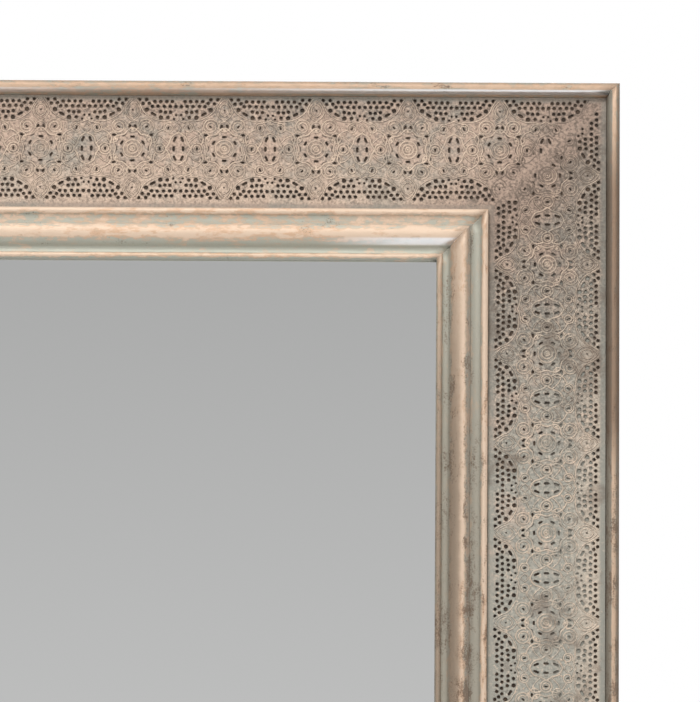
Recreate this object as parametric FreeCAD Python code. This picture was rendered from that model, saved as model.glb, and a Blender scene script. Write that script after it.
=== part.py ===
import FreeCAD
import Part
import math
import os

from FreeCAD import Vector

# A large rectangular wall mirror with a broad frame clad in antiqued sheet metal.
# Units are millimetres. +X is to the right seen from the front, +Z is up, and the mirror looks
# towards -Y. The origin is on the wall plane, halfway between the two hanging rings, at the height
# where the wall hooks carry them. A depth is a distance in front of the wall, so it runs along -Y.

# Overall size
MIRROR_WIDTH = 800.0
MIRROR_HEIGHT = 1200.0
HANG_DROP = 260.0  # from the top edge down to the hanging line

# Frame boards
BOARD_THICKNESS = 18.0
WALL_GAP = 7.0  # the bumpers hold the boards this far off the wall

# Sheet metal
SHEET = 0.8
SHEET_CLEARANCE = 0.3  # between a formed sheet and the wood under it
SEAM = 0.2  # between the pierced sheet and its neighbours

# Outer rim
RIM_WIDTH = 11.0
RIM_RISE = 11.0  # above the face of the boards
BACK_FLANGE = 12.0  # the sheet's return on the back

# Pierced sheet
PIERCED_WIDTH = 96.2
FILIGREE_PITCH = 75.4  # from one star to the next
FILIGREE_HALF_BAND = 42.0  # from the middle line to the outermost holes
STILE_SHIFT = 5.0  # the upright sheets' pattern starts this much further down
RAIL_SHIFT = 3.0  # the level sheets' pattern lies this much nearer the rim
DOT_RADIUS = 1.5
LUNETTE_ROW_SHARES = (
    (0.94, (0.14, 0.33, 0.52, 0.71)),
    (0.81, (0.14, 0.33, 0.52)),
    (0.68, (0.20, 0.40)),
)
BEAN_LENGTH = 6.0
BEAN_WIDTH = 2.4
OVAL_HALF_WIDTH = 3.9
OVAL_BEAN_SPACING = 8.4
STAR_HOLE_COUNT = 6
STAR_INNER_CIRCLE = 9.5
STAR_INNER_RADIUS = 1.4
STAR_OUTER_CIRCLE = 14.0
STAR_OUTER_RADIUS = 1.5
LAND = 1.2  # least metal between a hole and the sheet's edge

# Inner moulding, from the pierced sheet to the glass
OUTER_BEAD_WIDTH = 5.0
OUTER_BEAD_RISE = 9.5
OUTER_COVE_WIDTH = 7.0
OUTER_COVE_RISE = 4.8
OUTER_COVE_LIP = 6.2
FILLET_WIDTH = 3.0
FILLET_RISE = 7.4
TORUS_WIDTH = 17.3
TORUS_SHOULDER = 9.8
TORUS_RISE = 11.0
TORUS_CREST = 5.5  # from the torus's outer edge to its crest
TORUS_FOOT = 3.9
INNER_COVE_WIDTH = 5.2
INNER_COVE_RISE = 3.0
INNER_BEAD_WIDTH = 5.3
INNER_BEAD_RISE = 6.2

# Glass and what holds it
GLASS_THICKNESS = 4.0
GLASS_OVERLAP = 8.0  # hidden under the moulding
GLASS_CLEARANCE = 2.0  # from the glass's edge to the boards
BACKBOARD_THICKNESS = 3.0
LEDGE_WIDTH = 12.0
BACKBOARD_CLEARANCE = 1.0
BATTEN_WIDTH = 15.0
BATTEN_CLEARANCE = 0.5
BLOCK_LENGTH = 40.0
BLOCK_INSET = 110.0  # from the glass's corner to a block's middle

# Mitre joints
DOWEL_RADIUS = 4.0
DOWEL_LENGTH = 50.0
DOWEL_CLEARANCE = 0.1
DOWEL_OUTER_PLACE = 40.0  # from the outer edges to the outer dowel's middle
DOWEL_INNER_PLACE = 100.0
CORNER_PLATE_ARM = 90.0
CORNER_PLATE_WIDTH = 18.0
CORNER_PLATE_THICKNESS = 1.5
CORNER_PLATE_INSET = 45.0
CORNER_PLATE_HOLES = (30.0, 75.0)  # from the plate's outer corner

# Screws and pins
FIT_CLEARANCE = 0.05
PAN_HEAD_RADIUS = 3.5
PAN_HEAD_HEIGHT = 2.0
PAN_SHANK_RADIUS = 1.75
PAN_LENGTH = 13.0
RECESS_WIDTH = 0.9
RECESS_LENGTH = 4.2
RECESS_DEPTH = 1.1
LONG_SCREW_HEAD_RADIUS = 3.5
LONG_SCREW_HEAD_HEIGHT = 2.6
LONG_SCREW_SHANK_RADIUS = 1.75
LONG_SCREW_LENGTH = 24.0
LONG_SCREW_INSET = 4.5  # from the ledge to a long screw's axis
LONG_SCREW_RAIL_PLACE = 180.0
LONG_SCREW_STILE_PLACES = (150.0, 430.0)
PIN_HEAD_RADIUS = 2.2
PIN_HEAD_HEIGHT = 1.1
PIN_SHANK_RADIUS = 0.7
PIN_LENGTH = 16.0
PIN_SPACING = 95.0
PIN_END = 42.0

# Turn buttons that hold the backboard
BUTTON_REACH = 22.0  # from the pivot to the tip
BUTTON_WIDTH = 12.0
BUTTON_THICKNESS = 1.2
BUTTON_RUNNING_GAP = 0.15
BUTTON_BORE_CLEARANCE = 0.08
BUTTON_INSET = 8.0  # from the ledge to the pivot
BUTTON_SPACING = 300.0

# Ring hangers
HANGER_INSET = 75.0  # from the outer edge to the hanger's middle
STRAP_WIDTH = 14.0
STRAP_LENGTH = 46.0
STRAP_THICKNESS = 1.2
STRAP_HOLES = (24.0, 37.0)  # below the ring's bar
RING_WIRE_RADIUS = 1.5
RING_HALF_WIDTH = 11.5
RING_CORNER = 3.0
RING_LEG = 4.0
RING_CLEARANCE = 0.1

# Wall bumpers
BUMPER_RADIUS = 11.0
BUMPER_TIP_RADIUS = 9.0
BUMPER_INSET = 28.0

# How far every cut runs past the piece it cuts
OVERRUN = 20.0

# Places worked out from the sizes above
BACK = WALL_GAP
FACE = BACK + BOARD_THICKNESS
MOULDING_WIDTH = (
    OUTER_BEAD_WIDTH
    + OUTER_COVE_WIDTH
    + FILLET_WIDTH
    + TORUS_WIDTH
    + INNER_COVE_WIDTH
    + INNER_BEAD_WIDTH
)
MOULDING_EDGE = RIM_WIDTH + PIERCED_WIDTH
SIDE_WIDTH = MOULDING_EDGE + MOULDING_WIDTH
GLASS_EDGE = SIDE_WIDTH - GLASS_OVERLAP
BOARD_OUTER = RIM_WIDTH - SHEET
BOARD_INNER = GLASS_EDGE - GLASS_CLEARANCE
LEDGE = BOARD_INNER - LEDGE_WIDTH
BACKBOARD_EDGE = LEDGE + BACKBOARD_CLEARANCE
GLASS_BACK = FACE - GLASS_THICKNESS
BOARD_MIDDLE = BACK + BOARD_THICKNESS / 2
PIVOT = LEDGE - BUTTON_INSET
MIDDLE_Z = HANG_DROP - MIRROR_HEIGHT / 2
RING_HEIGHT = RING_LEG + RING_HALF_WIDTH
RING_AXIS_Z = RING_WIRE_RADIUS - RING_HEIGHT
LOOP_RADIUS = RING_WIRE_RADIUS + RING_CLEARANCE + STRAP_THICKNESS
RING_AXIS_DEPTH = BACK - LOOP_RADIUS
HANGER_X = MIRROR_WIDTH / 2 - HANGER_INSET

# Each side: its turn about Y from the top one, its length, and its distance from the middle
SIDES = {
    "top": (0, MIRROR_WIDTH, MIRROR_HEIGHT / 2),
    "right": (90, MIRROR_HEIGHT, MIRROR_WIDTH / 2),
    "bottom": (180, MIRROR_WIDTH, MIRROR_HEIGHT / 2),
    "left": (270, MIRROR_HEIGHT, MIRROR_WIDTH / 2),
}
# The pattern's shift along each side, and from the sheet's middle line towards the rim
PATTERN_SHIFT = {
    "top": (0, RAIL_SHIFT),
    "right": (STILE_SHIFT, 0),
    "bottom": (0, RAIL_SHIFT),
    "left": (-STILE_SHIFT, 0),
}
STILES = ("left", "right")
Y_AXIS = Vector(0, 1, 0)
X_AXIS = Vector(1, 0, 0)


# Placing. A side is drawn as the top one: x along it, the depth along -Y, and the distance in
# from the outer edge along -Z.


def point(along, inward, depth):
    return Vector(along, -depth, -inward)


def on_side(shape, side):
    """The shape, drawn on the top side's outer edge, carried to the side named."""
    turn, _, reach = SIDES[side]
    placed = shape.copy()
    placed.translate(Vector(0, 0, reach))
    placed.rotate(Vector(0, 0, 0), Y_AXIS, turn)
    placed.translate(Vector(0, 0, MIDDLE_Z))
    return placed


def group(shapes):
    return Part.makeCompound(shapes)


def rod(along, inward, depth, radius, length, direction=Vector(0, -1, 0)):
    """A cylinder from the point given, along the direction given."""
    return Part.makeCylinder(radius, length, point(along, inward, depth), direction)


def block(along, inward, depth, length, width, thickness):
    """A box whose middle along the side is at along, and which grows inward and forward."""
    corner = point(along - length / 2, inward + width, depth + thickness)
    return Part.makeBox(length, thickness, width, corner)


# Outlines. Each is a closed wire of (inward, depth) points, and an arc goes through its middle point.


def section(steps, length):
    """A face at the side's left end, from ("line", point) and ("arc", middle, point) steps."""
    edges = []
    place = steps[0][-1]
    for step in steps[1:]:
        start = point(-length / 2, *place)
        end = point(-length / 2, *step[-1])
        if step[0] == "arc":
            edges.append(Part.Arc(start, point(-length / 2, *step[1]), end).toShape())
        else:
            edges.append(Part.makeLine(start, end))
        place = step[-1]
    return Part.Face(Part.Wire(edges))


def mitred(face, length):
    """The section run along the whole side, with both ends cut at 45 degrees."""
    bar = face.extrude(Vector(length, 0, 0))
    half = length / 2
    depth = SIDE_WIDTH + OVERRUN
    outline = [
        point(-half - OVERRUN, -OVERRUN, -OVERRUN),
        point(half + OVERRUN, -OVERRUN, -OVERRUN),
        point(half - depth, depth, -OVERRUN),
        point(-half + depth, depth, -OVERRUN),
    ]
    wedge = Part.Face(Part.makePolygon(outline + outline[:1]))
    return bar.common(wedge.extrude(Vector(0, -FACE - SIDE_WIDTH, 0)))


# Fasteners, drawn at a place on a side


def pan_screw(along, inward, under_head):
    """A pan head screw driven forward, with its head's underside at the depth given."""
    head = rod(along, inward, under_head, PAN_HEAD_RADIUS, PAN_HEAD_HEIGHT, Y_AXIS)
    rim = [e for e in head.Edges if e.Closed and e.CenterOfMass.y > -under_head + FIT_CLEARANCE]
    head = head.makeFillet(PAN_HEAD_HEIGHT / 2, rim)
    shank = rod(along, inward, under_head, PAN_SHANK_RADIUS, PAN_LENGTH)
    screw = head.fuse(shank)
    return screw.cut(cross_recess(along, inward, under_head - PAN_HEAD_HEIGHT))


def cross_recess(along, inward, top):
    """The cut of a cross recess into a head whose top is at the depth given."""
    depth = top - OVERRUN
    cut = RECESS_DEPTH + OVERRUN
    flat = block(along, inward - RECESS_WIDTH / 2, depth, RECESS_LENGTH, RECESS_WIDTH, cut)
    tall = block(along, inward - RECESS_LENGTH / 2, depth, RECESS_WIDTH, RECESS_LENGTH, cut)
    return flat.fuse(tall)


def pan_hole(along, inward, under_head):
    depth = under_head - OVERRUN
    length = OVERRUN + PAN_LENGTH + FIT_CLEARANCE
    return rod(along, inward, depth, PAN_SHANK_RADIUS + FIT_CLEARANCE, length)


def long_screw_form(along, inward, extra):
    """A countersunk screw flush with the boards' back, all sizes grown by extra."""
    head = Part.makeCone(
        LONG_SCREW_HEAD_RADIUS + extra,
        LONG_SCREW_SHANK_RADIUS + extra,
        LONG_SCREW_HEAD_HEIGHT,
        point(along, inward, BACK),
        Vector(0, -1, 0),
    )
    shank = rod(along, inward, BACK, LONG_SCREW_SHANK_RADIUS + extra, LONG_SCREW_LENGTH + extra)
    return head.fuse(shank)


def long_screw(along, inward):
    screw = long_screw_form(along, inward, 0)
    return screw.cut(cross_recess(along, inward, BACK))


def long_screw_places(side):
    inward = LEDGE - LONG_SCREW_INSET
    places = LONG_SCREW_STILE_PLACES if side in STILES else (LONG_SCREW_RAIL_PLACE,)
    return [(sign * place, inward) for place in places for sign in (-1, 1)]


def pin_places(side):
    length = SIDES[side][1]
    run = length - 2 * PIN_END
    count = max(1, round(run / PIN_SPACING))
    return [-run / 2 + run * k / count for k in range(count + 1)]


def pin(along):
    """A round-headed pin driven inward through the rim's side."""
    inward = Vector(0, 0, -1)
    shank = rod(along, 0, BOARD_MIDDLE, PIN_SHANK_RADIUS, PIN_LENGTH, inward)
    ball_radius = (PIN_HEAD_RADIUS**2 + PIN_HEAD_HEIGHT**2) / (2 * PIN_HEAD_HEIGHT)
    centre = point(along, ball_radius - PIN_HEAD_HEIGHT, BOARD_MIDDLE)
    ball = Part.makeSphere(ball_radius, centre)
    outside = block(along, -OVERRUN, BACK, 2 * OVERRUN, OVERRUN, BOARD_THICKNESS)
    return ball.common(outside).fuse(shank)


def pin_hole(along):
    inward = Vector(0, 0, -1)
    radius = PIN_SHANK_RADIUS + FIT_CLEARANCE
    return rod(along, -OVERRUN, BOARD_MIDDLE, radius, OVERRUN + PIN_LENGTH + FIT_CLEARANCE, inward)


def dowel_form(place, radius, length):
    """A dowel across the top side's right mitre, square to it."""
    corner = MIRROR_WIDTH / 2 - place
    step = length / 2 / math.sqrt(2)
    start = point(corner - step, place - step, BOARD_MIDDLE)
    return Part.makeCylinder(radius, length, start, Vector(1, 0, -1))


def corner_dowels(radius, length):
    """All dowels, in the mirror's own frame."""
    top = []
    for place in (DOWEL_OUTER_PLACE, DOWEL_INNER_PLACE):
        right = on_side(dowel_form(place, radius, length), "top")
        top += [right, right.mirror(Vector(0, 0, 0), X_AXIS)]
    middle = Vector(0, 0, MIDDLE_Z)
    return top + [form.mirror(middle, Vector(0, 0, 1)) for form in top]


# Turn buttons


def button_places(side):
    return (-BUTTON_SPACING, 0, BUTTON_SPACING) if side in STILES else (0,)


BUTTON_BACK = BACK - BUTTON_RUNNING_GAP - BUTTON_THICKNESS
BUTTON_SCREW_SEAT = BUTTON_BACK - BUTTON_RUNNING_GAP


def turn_button(along):
    """A flat tab with round ends, closed over the backboard, with its bore at the pivot."""
    end = BUTTON_WIDTH / 2
    run = BUTTON_REACH - end
    tab = block(along, PIVOT, BUTTON_BACK, BUTTON_WIDTH, run, BUTTON_THICKNESS)
    for inward in (PIVOT, PIVOT + run):
        tab = tab.fuse(rod(along, inward, BUTTON_BACK, end, BUTTON_THICKNESS))
    bore = PAN_SHANK_RADIUS + BUTTON_BORE_CLEARANCE
    tab = tab.cut(rod(along, PIVOT, BUTTON_BACK - OVERRUN, bore, 2 * OVERRUN))
    return tab.removeSplitter()


# Ring hangers, drawn about x = 0 at their own height


def ring():
    """The D-shaped wire ring, lying flat behind the board with its round side up."""
    half = RING_HALF_WIDTH
    inner = half - RING_CORNER
    turn = RING_CORNER * (1 - math.sqrt(0.5))

    def at(x, up):
        return Vector(x, -RING_AXIS_DEPTH, RING_AXIS_Z + up)

    path = Part.Wire(
        [
            Part.makeLine(at(-inner, 0), at(inner, 0)),
            Part.Arc(at(inner, 0), at(half - turn, turn), at(half, RING_CORNER)).toShape(),
            Part.makeLine(at(half, RING_CORNER), at(half, RING_LEG)),
            Part.Arc(at(half, RING_LEG), at(0, RING_HEIGHT), at(-half, RING_LEG)).toShape(),
            Part.makeLine(at(-half, RING_LEG), at(-half, RING_CORNER)),
            Part.Arc(at(-half, RING_CORNER), at(-half + turn, turn), at(-inner, 0)).toShape(),
        ]
    )
    start = Part.Wire([Part.makeCircle(RING_WIRE_RADIUS, at(-inner, 0), X_AXIS)])
    return path.makePipeShell([start], True, False)


def strap():
    """The folded strap that holds the ring's bar, with its two screw holes."""
    thick = 2 * STRAP_THICKNESS
    straight = STRAP_LENGTH - STRAP_WIDTH / 2
    left = -STRAP_WIDTH / 2
    corner = Vector(left, -BACK, RING_AXIS_Z - straight)
    plate = Part.makeBox(STRAP_WIDTH, thick, straight, corner)
    end = Part.makeCylinder(
        STRAP_WIDTH / 2, thick, Vector(0, -BACK, RING_AXIS_Z - straight), Y_AXIS
    )
    axis = Vector(left, -RING_AXIS_DEPTH, RING_AXIS_Z)
    loop = Part.makeCylinder(LOOP_RADIUS, STRAP_WIDTH, axis, X_AXIS)
    bore = Part.makeCylinder(RING_WIRE_RADIUS + RING_CLEARANCE, STRAP_WIDTH, axis, X_AXIS)
    body = plate.fuse(end).fuse(loop).cut(bore).removeSplitter()
    holes = [
        Part.makeCylinder(
            PAN_SHANK_RADIUS + FIT_CLEARANCE,
            thick + 2 * OVERRUN,
            Vector(0, -BACK - OVERRUN, RING_AXIS_Z - drop),
            Y_AXIS,
        )
        for drop in STRAP_HOLES
    ]
    return body.cut(group(holes))


def hanger_screw_places():
    """(along, inward) of the strap screws on the right side."""
    top_to_axis = HANG_DROP - RING_AXIS_Z
    start = -MIRROR_HEIGHT / 2 + top_to_axis
    return [(start + drop, HANGER_INSET) for drop in STRAP_HOLES]


# Frame pieces, one for each side


def fastener_holes(side):
    """Everything drilled into the board of one side, in that side's own frame."""
    length = SIDES[side][1]
    holes = [pan_hole(along, PIVOT, BUTTON_SCREW_SEAT) for along in button_places(side)]
    holes += [pin_hole(along) for along in pin_places(side)]
    holes += [long_screw_form(*place, FIT_CLEARANCE) for place in long_screw_places(side)]
    plate_seat = BACK - CORNER_PLATE_THICKNESS
    for along, inward in corner_screw_places(length):
        holes.append(pan_hole(along, inward, plate_seat))
    if side in STILES:
        sign = 1 if side == "right" else -1
        for along, inward in hanger_screw_places():
            holes.append(pan_hole(sign * along, inward, BACK - 2 * STRAP_THICKNESS))
    return holes


def corner_screw_places(length):
    """(along, inward) of the corner plate screws in one side."""
    inward = CORNER_PLATE_INSET + CORNER_PLATE_WIDTH / 2
    from_corner = [CORNER_PLATE_INSET + hole for hole in CORNER_PLATE_HOLES]
    return [(sign * (length / 2 - a), inward) for a in from_corner for sign in (-1, 1)]


def board(side):
    """The flat board of one side, rebated for the backboard and drilled."""
    length = SIDES[side][1]
    ledge_depth = BACK + BACKBOARD_THICKNESS
    steps = [
        ("line", (BOARD_OUTER, BACK)),
        ("line", (LEDGE, BACK)),
        ("line", (LEDGE, ledge_depth)),
        ("line", (BOARD_INNER, ledge_depth)),
        ("line", (BOARD_INNER, FACE)),
        ("line", (BOARD_OUTER, FACE)),
        ("line", (BOARD_OUTER, BACK)),
    ]
    plain = mitred(section(steps, length), length)
    drilled = on_side(plain.cut(group(fastener_holes(side))), side)
    sockets = corner_dowels(DOWEL_RADIUS + DOWEL_CLEARANCE, DOWEL_LENGTH + 2 * DOWEL_CLEARANCE)
    return drilled.cut(group(sockets))


def rim_steps(inset, back):
    """The rim's outline, set in from its outer face all round."""
    radius = RIM_WIDTH / 2 - inset
    spring = FACE + RIM_RISE - RIM_WIDTH / 2
    return [
        ("line", (inset, back)),
        ("line", (inset, spring)),
        ("arc", (RIM_WIDTH / 2, spring + radius), (RIM_WIDTH - inset, spring)),
    ]


def rim_batten(side):
    length = SIDES[side][1]
    inset = SHEET + SHEET_CLEARANCE
    steps = rim_steps(inset, BACK)
    steps += [
        ("line", (RIM_WIDTH - inset, FACE)),
        ("line", (BOARD_OUTER, FACE)),
        ("line", (BOARD_OUTER, BACK)),
        ("line", (inset, BACK)),
    ]
    bar = mitred(section(steps, length), length)
    return on_side(bar.cut(group([pin_hole(along) for along in pin_places(side)])), side)


def rim_cladding(side):
    """The sheet folded over the rim, from the pierced sheet round to the back."""
    length = SIDES[side][1]
    outer = rim_steps(0, BACK - SHEET)
    inner = rim_steps(SHEET, BACK)
    _, crown, foot = inner[2]
    steps = [("line", (BACK_FLANGE, BACK - SHEET))] + outer
    steps += [
        ("line", (RIM_WIDTH, FACE)),
        ("line", (RIM_WIDTH - SHEET, FACE)),
        ("line", foot),
        ("arc", crown, inner[1][-1]),
        ("line", (SHEET, BACK)),
        ("line", (BACK_FLANGE, BACK)),
        ("line", (BACK_FLANGE, BACK - SHEET)),
    ]
    bar = mitred(section(steps, length), length)
    return on_side(bar.cut(group([pin_hole(along) for along in pin_places(side)])), side)


def moulding_steps():
    """The moulding's face as (inward, depth) steps, from the pierced sheet to the glass."""

    def arc(start, end, rise):
        """An arc between two points whose highest or lowest point lies halfway across."""
        return ("arc", ((start[0] + end[0]) / 2, FACE + rise), end)

    bead = OUTER_BEAD_WIDTH / 2
    small_bead = INNER_BEAD_WIDTH / 2
    start = (MOULDING_EDGE, FACE + OUTER_BEAD_RISE - bead)
    bead_end = (start[0] + OUTER_BEAD_WIDTH, start[1])
    cove_end = (bead_end[0] + OUTER_COVE_WIDTH, FACE + OUTER_COVE_LIP)
    fillet_start = (cove_end[0], FACE + FILLET_RISE)
    fillet_end = (cove_end[0] + FILLET_WIDTH, FACE + FILLET_RISE)
    torus_start = (fillet_end[0], FACE + TORUS_SHOULDER)
    torus_end = (torus_start[0] + TORUS_WIDTH, FACE + TORUS_FOOT)
    crest = (torus_start[0] + TORUS_CREST, FACE + TORUS_RISE)
    inner_bead = (torus_end[0] + INNER_COVE_WIDTH, FACE + INNER_BEAD_RISE - small_bead)
    last = (SIDE_WIDTH, inner_bead[1])
    return [
        ("line", (MOULDING_EDGE, FACE)),
        ("line", start),
        arc(start, bead_end, OUTER_BEAD_RISE),
        arc(bead_end, cove_end, OUTER_COVE_RISE),
        ("line", fillet_start),
        ("line", fillet_end),
        ("line", torus_start),
        ("arc", crest, torus_end),
        arc(torus_end, inner_bead, INNER_COVE_RISE),
        arc(inner_bead, last, INNER_BEAD_RISE),
        ("line", (SIDE_WIDTH, FACE)),
        ("line", (MOULDING_EDGE, FACE)),
    ]


def inset_section(length, inset):
    """The moulding's section set in from its face, and run down to the boards."""
    whole = section(moulding_steps(), length)
    shrunk = whole.makeOffset2D(-inset, 2, False, False, False)
    foot = [
        ("line", (MOULDING_EDGE + inset, FACE)),
        ("line", (MOULDING_EDGE + inset, FACE + 2 * inset)),
        ("line", (SIDE_WIDTH - inset, FACE + 2 * inset)),
        ("line", (SIDE_WIDTH - inset, FACE)),
        ("line", (MOULDING_EDGE + inset, FACE)),
    ]
    return shrunk.fuse(section(foot, length)).removeSplitter().Faces[0]


def moulding_core(side):
    length = SIDES[side][1]
    bar = mitred(inset_section(length, SHEET + SHEET_CLEARANCE), length)
    holes = [long_screw_form(*place, FIT_CLEARANCE) for place in long_screw_places(side)]
    return on_side(bar.cut(group(holes)), side)


def moulding_cladding(side):
    length = SIDES[side][1]
    skin = section(moulding_steps(), length).cut(inset_section(length, SHEET)).Faces[0]
    return on_side(mitred(skin, length), side)


# The pierced sheet


def slot(along, inward, length, width, turn):
    """A closed wire of a slot with round ends on the sheet's front, turned in its plane."""
    run = (length - width) / 2
    half = width / 2
    here = Vector(along, 0, -inward)
    corners = [Vector(-run, 0, half), Vector(run, 0, half), Vector(run, 0, -half)]
    corners.append(Vector(-run, 0, -half))
    edges = [
        Part.makeLine(corners[0], corners[1]),
        Part.Arc(corners[1], Vector(run + half, 0, 0), corners[2]).toShape(),
        Part.makeLine(corners[2], corners[3]),
        Part.Arc(corners[3], Vector(-run - half, 0, 0), corners[0]).toShape(),
    ]
    wire = Part.Wire(edges)
    wire.rotate(Vector(0, 0, 0), Y_AXIS, turn)
    wire.translate(here)
    return wire


def dot(along, inward, radius):
    return Part.Wire([Part.makeCircle(radius, Vector(along, 0, -inward), Y_AXIS)])


def quadrants(u, v):
    """The place in all four quarters about the middle, once each."""
    return sorted({(a * u, b * v) for a in (-1, 1) for b in (-1, 1)})


def motif_holes():
    """One repeat's holes as (u, v, reach, kind, turn) about the oval's middle, the star half a pitch on."""
    half_pitch = FILIGREE_PITCH / 2
    holes = []
    for across, row in LUNETTE_ROW_SHARES:
        for share in row:
            for u, v in quadrants(share * half_pitch, across * FILIGREE_HALF_BAND):
                holes.append((u, v, DOT_RADIUS, "dot", 0))
    lean = math.degrees(math.atan2(OVAL_HALF_WIDTH / 2, OVAL_BEAN_SPACING))
    for u, v in quadrants(OVAL_HALF_WIDTH, 0):
        holes.append((u, v, BEAN_LENGTH / 2, "bean", 90))
    for u, v in quadrants(OVAL_HALF_WIDTH, OVAL_BEAN_SPACING):
        sign = 1 if u * v > 0 else -1
        holes.append((u, v, BEAN_LENGTH / 2, "bean", 90 - sign * lean))
    rings = ((STAR_INNER_CIRCLE, STAR_INNER_RADIUS, 0.5), (STAR_OUTER_CIRCLE, STAR_OUTER_RADIUS, 0))
    for circle, radius, start in rings:
        for k in range(STAR_HOLE_COUNT):
            angle = math.tau * (k + start) / STAR_HOLE_COUNT
            u = half_pitch + circle * math.cos(angle)
            holes.append((u, circle * math.sin(angle), radius, "dot", 0))
    return holes


def pierced_sheet(side):
    """The flat pierced sheet of one side, cut to the mitres, without the holes that a mitre meets."""
    length = SIDES[side][1]
    near = RIM_WIDTH + SEAM
    far = MOULDING_EDGE - SEAM
    shift, rise = PATTERN_SHIFT[side]
    middle = (near + far) / 2 - rise
    outline = [
        Vector(-length / 2 + near, 0, -near),
        Vector(length / 2 - near, 0, -near),
        Vector(length / 2 - far, 0, -far),
        Vector(-length / 2 + far, 0, -far),
    ]
    wires = [Part.makePolygon(outline + outline[:1])]
    count = math.ceil(length / FILIGREE_PITCH / 2) + 1
    for k in range(-count, count):
        start = (k + 0.5) * FILIGREE_PITCH + shift
        for u, v, reach, kind, turn in motif_holes():
            along = start + u
            inward = middle - v
            if (length / 2 - inward - abs(along)) / math.sqrt(2) < reach + LAND:
                continue
            if kind == "dot":
                wires.append(dot(along, inward, reach))
            else:
                wires.append(slot(along, inward, 2 * reach, BEAN_WIDTH, turn))
    face = Part.Face(wires, "Part::FaceMakerBullseye")
    sheet = face.extrude(Vector(0, -SHEET, 0))
    sheet.translate(Vector(0, -FACE - SHEET_CLEARANCE, 0))
    return on_side(sheet, side)


# Glass, backboard and packing


def pane(edge, depth, thickness):
    """A flat rectangle inside the frame, its edge the same distance in from all four sides."""
    width = MIRROR_WIDTH - 2 * edge
    height = MIRROR_HEIGHT - 2 * edge
    corner = Vector(-width / 2, -depth - thickness, MIDDLE_Z - height / 2)
    return Part.makeBox(width, thickness, height, corner)


def packing_batten(side):
    """A square batten between the glass and the backboard; the uprights stand between the others."""
    length = SIDES[side][1]
    edge = BOARD_INNER + BATTEN_CLEARANCE
    depth = BACK + BACKBOARD_THICKNESS
    run = length - 2 * edge
    if side in STILES:
        run -= 2 * (BATTEN_WIDTH + BATTEN_CLEARANCE)
    return on_side(block(0, edge, depth, run, BATTEN_WIDTH, GLASS_BACK - depth), side)


def edge_block(side, sign):
    """A strip between the glass's edge and the board."""
    along = sign * (SIDES[side][1] / 2 - GLASS_EDGE - BLOCK_INSET)
    strip = block(along, BOARD_INNER, GLASS_BACK, BLOCK_LENGTH, GLASS_CLEARANCE, GLASS_THICKNESS)
    return on_side(strip, side)


def corner_plate():
    """The flat steel angle behind the top right mitre, drilled for its four screws."""
    edge = MIRROR_WIDTH / 2 - CORNER_PLATE_INSET
    depth = BACK - CORNER_PLATE_THICKNESS
    arm = CORNER_PLATE_ARM
    width = CORNER_PLATE_WIDTH
    flat = block(edge - arm / 2, CORNER_PLATE_INSET, depth, arm, width, CORNER_PLATE_THICKNESS)
    tall = block(edge - width / 2, CORNER_PLATE_INSET, depth, width, arm, CORNER_PLATE_THICKNESS)
    plate = flat.fuse(tall).removeSplitter()
    centre = CORNER_PLATE_WIDTH / 2
    radius = PAN_SHANK_RADIUS + FIT_CLEARANCE
    holes = []
    for hole in CORNER_PLATE_HOLES:
        for a, b in ((hole, centre), (centre, hole)):
            start = depth - OVERRUN
            holes.append(rod(edge - a, CORNER_PLATE_INSET + b, start, radius, 2 * OVERRUN))
    return on_side(plate.cut(group(holes)), "top")


def in_four_corners(shape):
    """The top right corner's shape, mirrored to all four corners."""
    pair = [shape, shape.mirror(Vector(0, 0, 0), X_AXIS)]
    middle = Vector(0, 0, MIDDLE_Z)
    return pair + [form.mirror(middle, Vector(0, 0, 1)) for form in pair]


def bumper():
    x = MIRROR_WIDTH / 2 - BUMPER_INSET
    z = HANG_DROP - BUMPER_INSET
    return Part.makeCone(BUMPER_RADIUS, BUMPER_TIP_RADIUS, WALL_GAP, Vector(x, -WALL_GAP, z), Y_AXIS)


# The whole mirror


def side_pieces():
    makers = {
        "board": board,
        "rim_batten": rim_batten,
        "rim_cladding": rim_cladding,
        "pierced_sheet": pierced_sheet,
        "moulding_core": moulding_core,
        "moulding_cladding": moulding_cladding,
        "packing_batten": packing_batten,
    }
    return {f"{name}_{side}": make(side) for name, make in makers.items() for side in SIDES}


def glazing():
    sides = ("top", "left", "right")
    spacers = [edge_block(side, sign) for side in sides for sign in (-1, 1)]
    blocks = [edge_block("bottom", sign) for sign in (-1, 1)]
    return {
        "mirror_glass": pane(GLASS_EDGE, GLASS_BACK, GLASS_THICKNESS),
        "backboard": pane(BACKBOARD_EDGE, BACK, BACKBOARD_THICKNESS),
        "glass_edge_spacers": group(spacers),
        "glass_setting_blocks": group(blocks),
    }


def corner_joints():
    screws = []
    for side in SIDES:
        for place in corner_screw_places(SIDES[side][1]):
            screws.append(on_side(pan_screw(*place, BACK - CORNER_PLATE_THICKNESS), side))
    return {
        "mitre_dowels": group(corner_dowels(DOWEL_RADIUS, DOWEL_LENGTH)),
        "corner_plates": group(in_four_corners(corner_plate())),
        "corner_plate_screws": group(screws),
    }


def frame_fasteners():
    long_screws = []
    pins = []
    for side in SIDES:
        long_screws += [on_side(long_screw(*place), side) for place in long_screw_places(side)]
        pins += [on_side(pin(along), side) for along in pin_places(side)]
    return {"moulding_screws": group(long_screws), "rim_pins": group(pins)}


def turn_buttons():
    nodes = {}
    screws = []
    for side in SIDES:
        places = button_places(side)
        for number, along in enumerate(places, 1):
            name = f"turn_button_{side}" + (f"_{number}" if len(places) > 1 else "")
            nodes[name] = on_side(turn_button(along), side)
            screws.append(on_side(pan_screw(along, PIVOT, BUTTON_SCREW_SEAT), side))
    nodes["turn_button_screws"] = group(screws)
    return nodes


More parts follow.
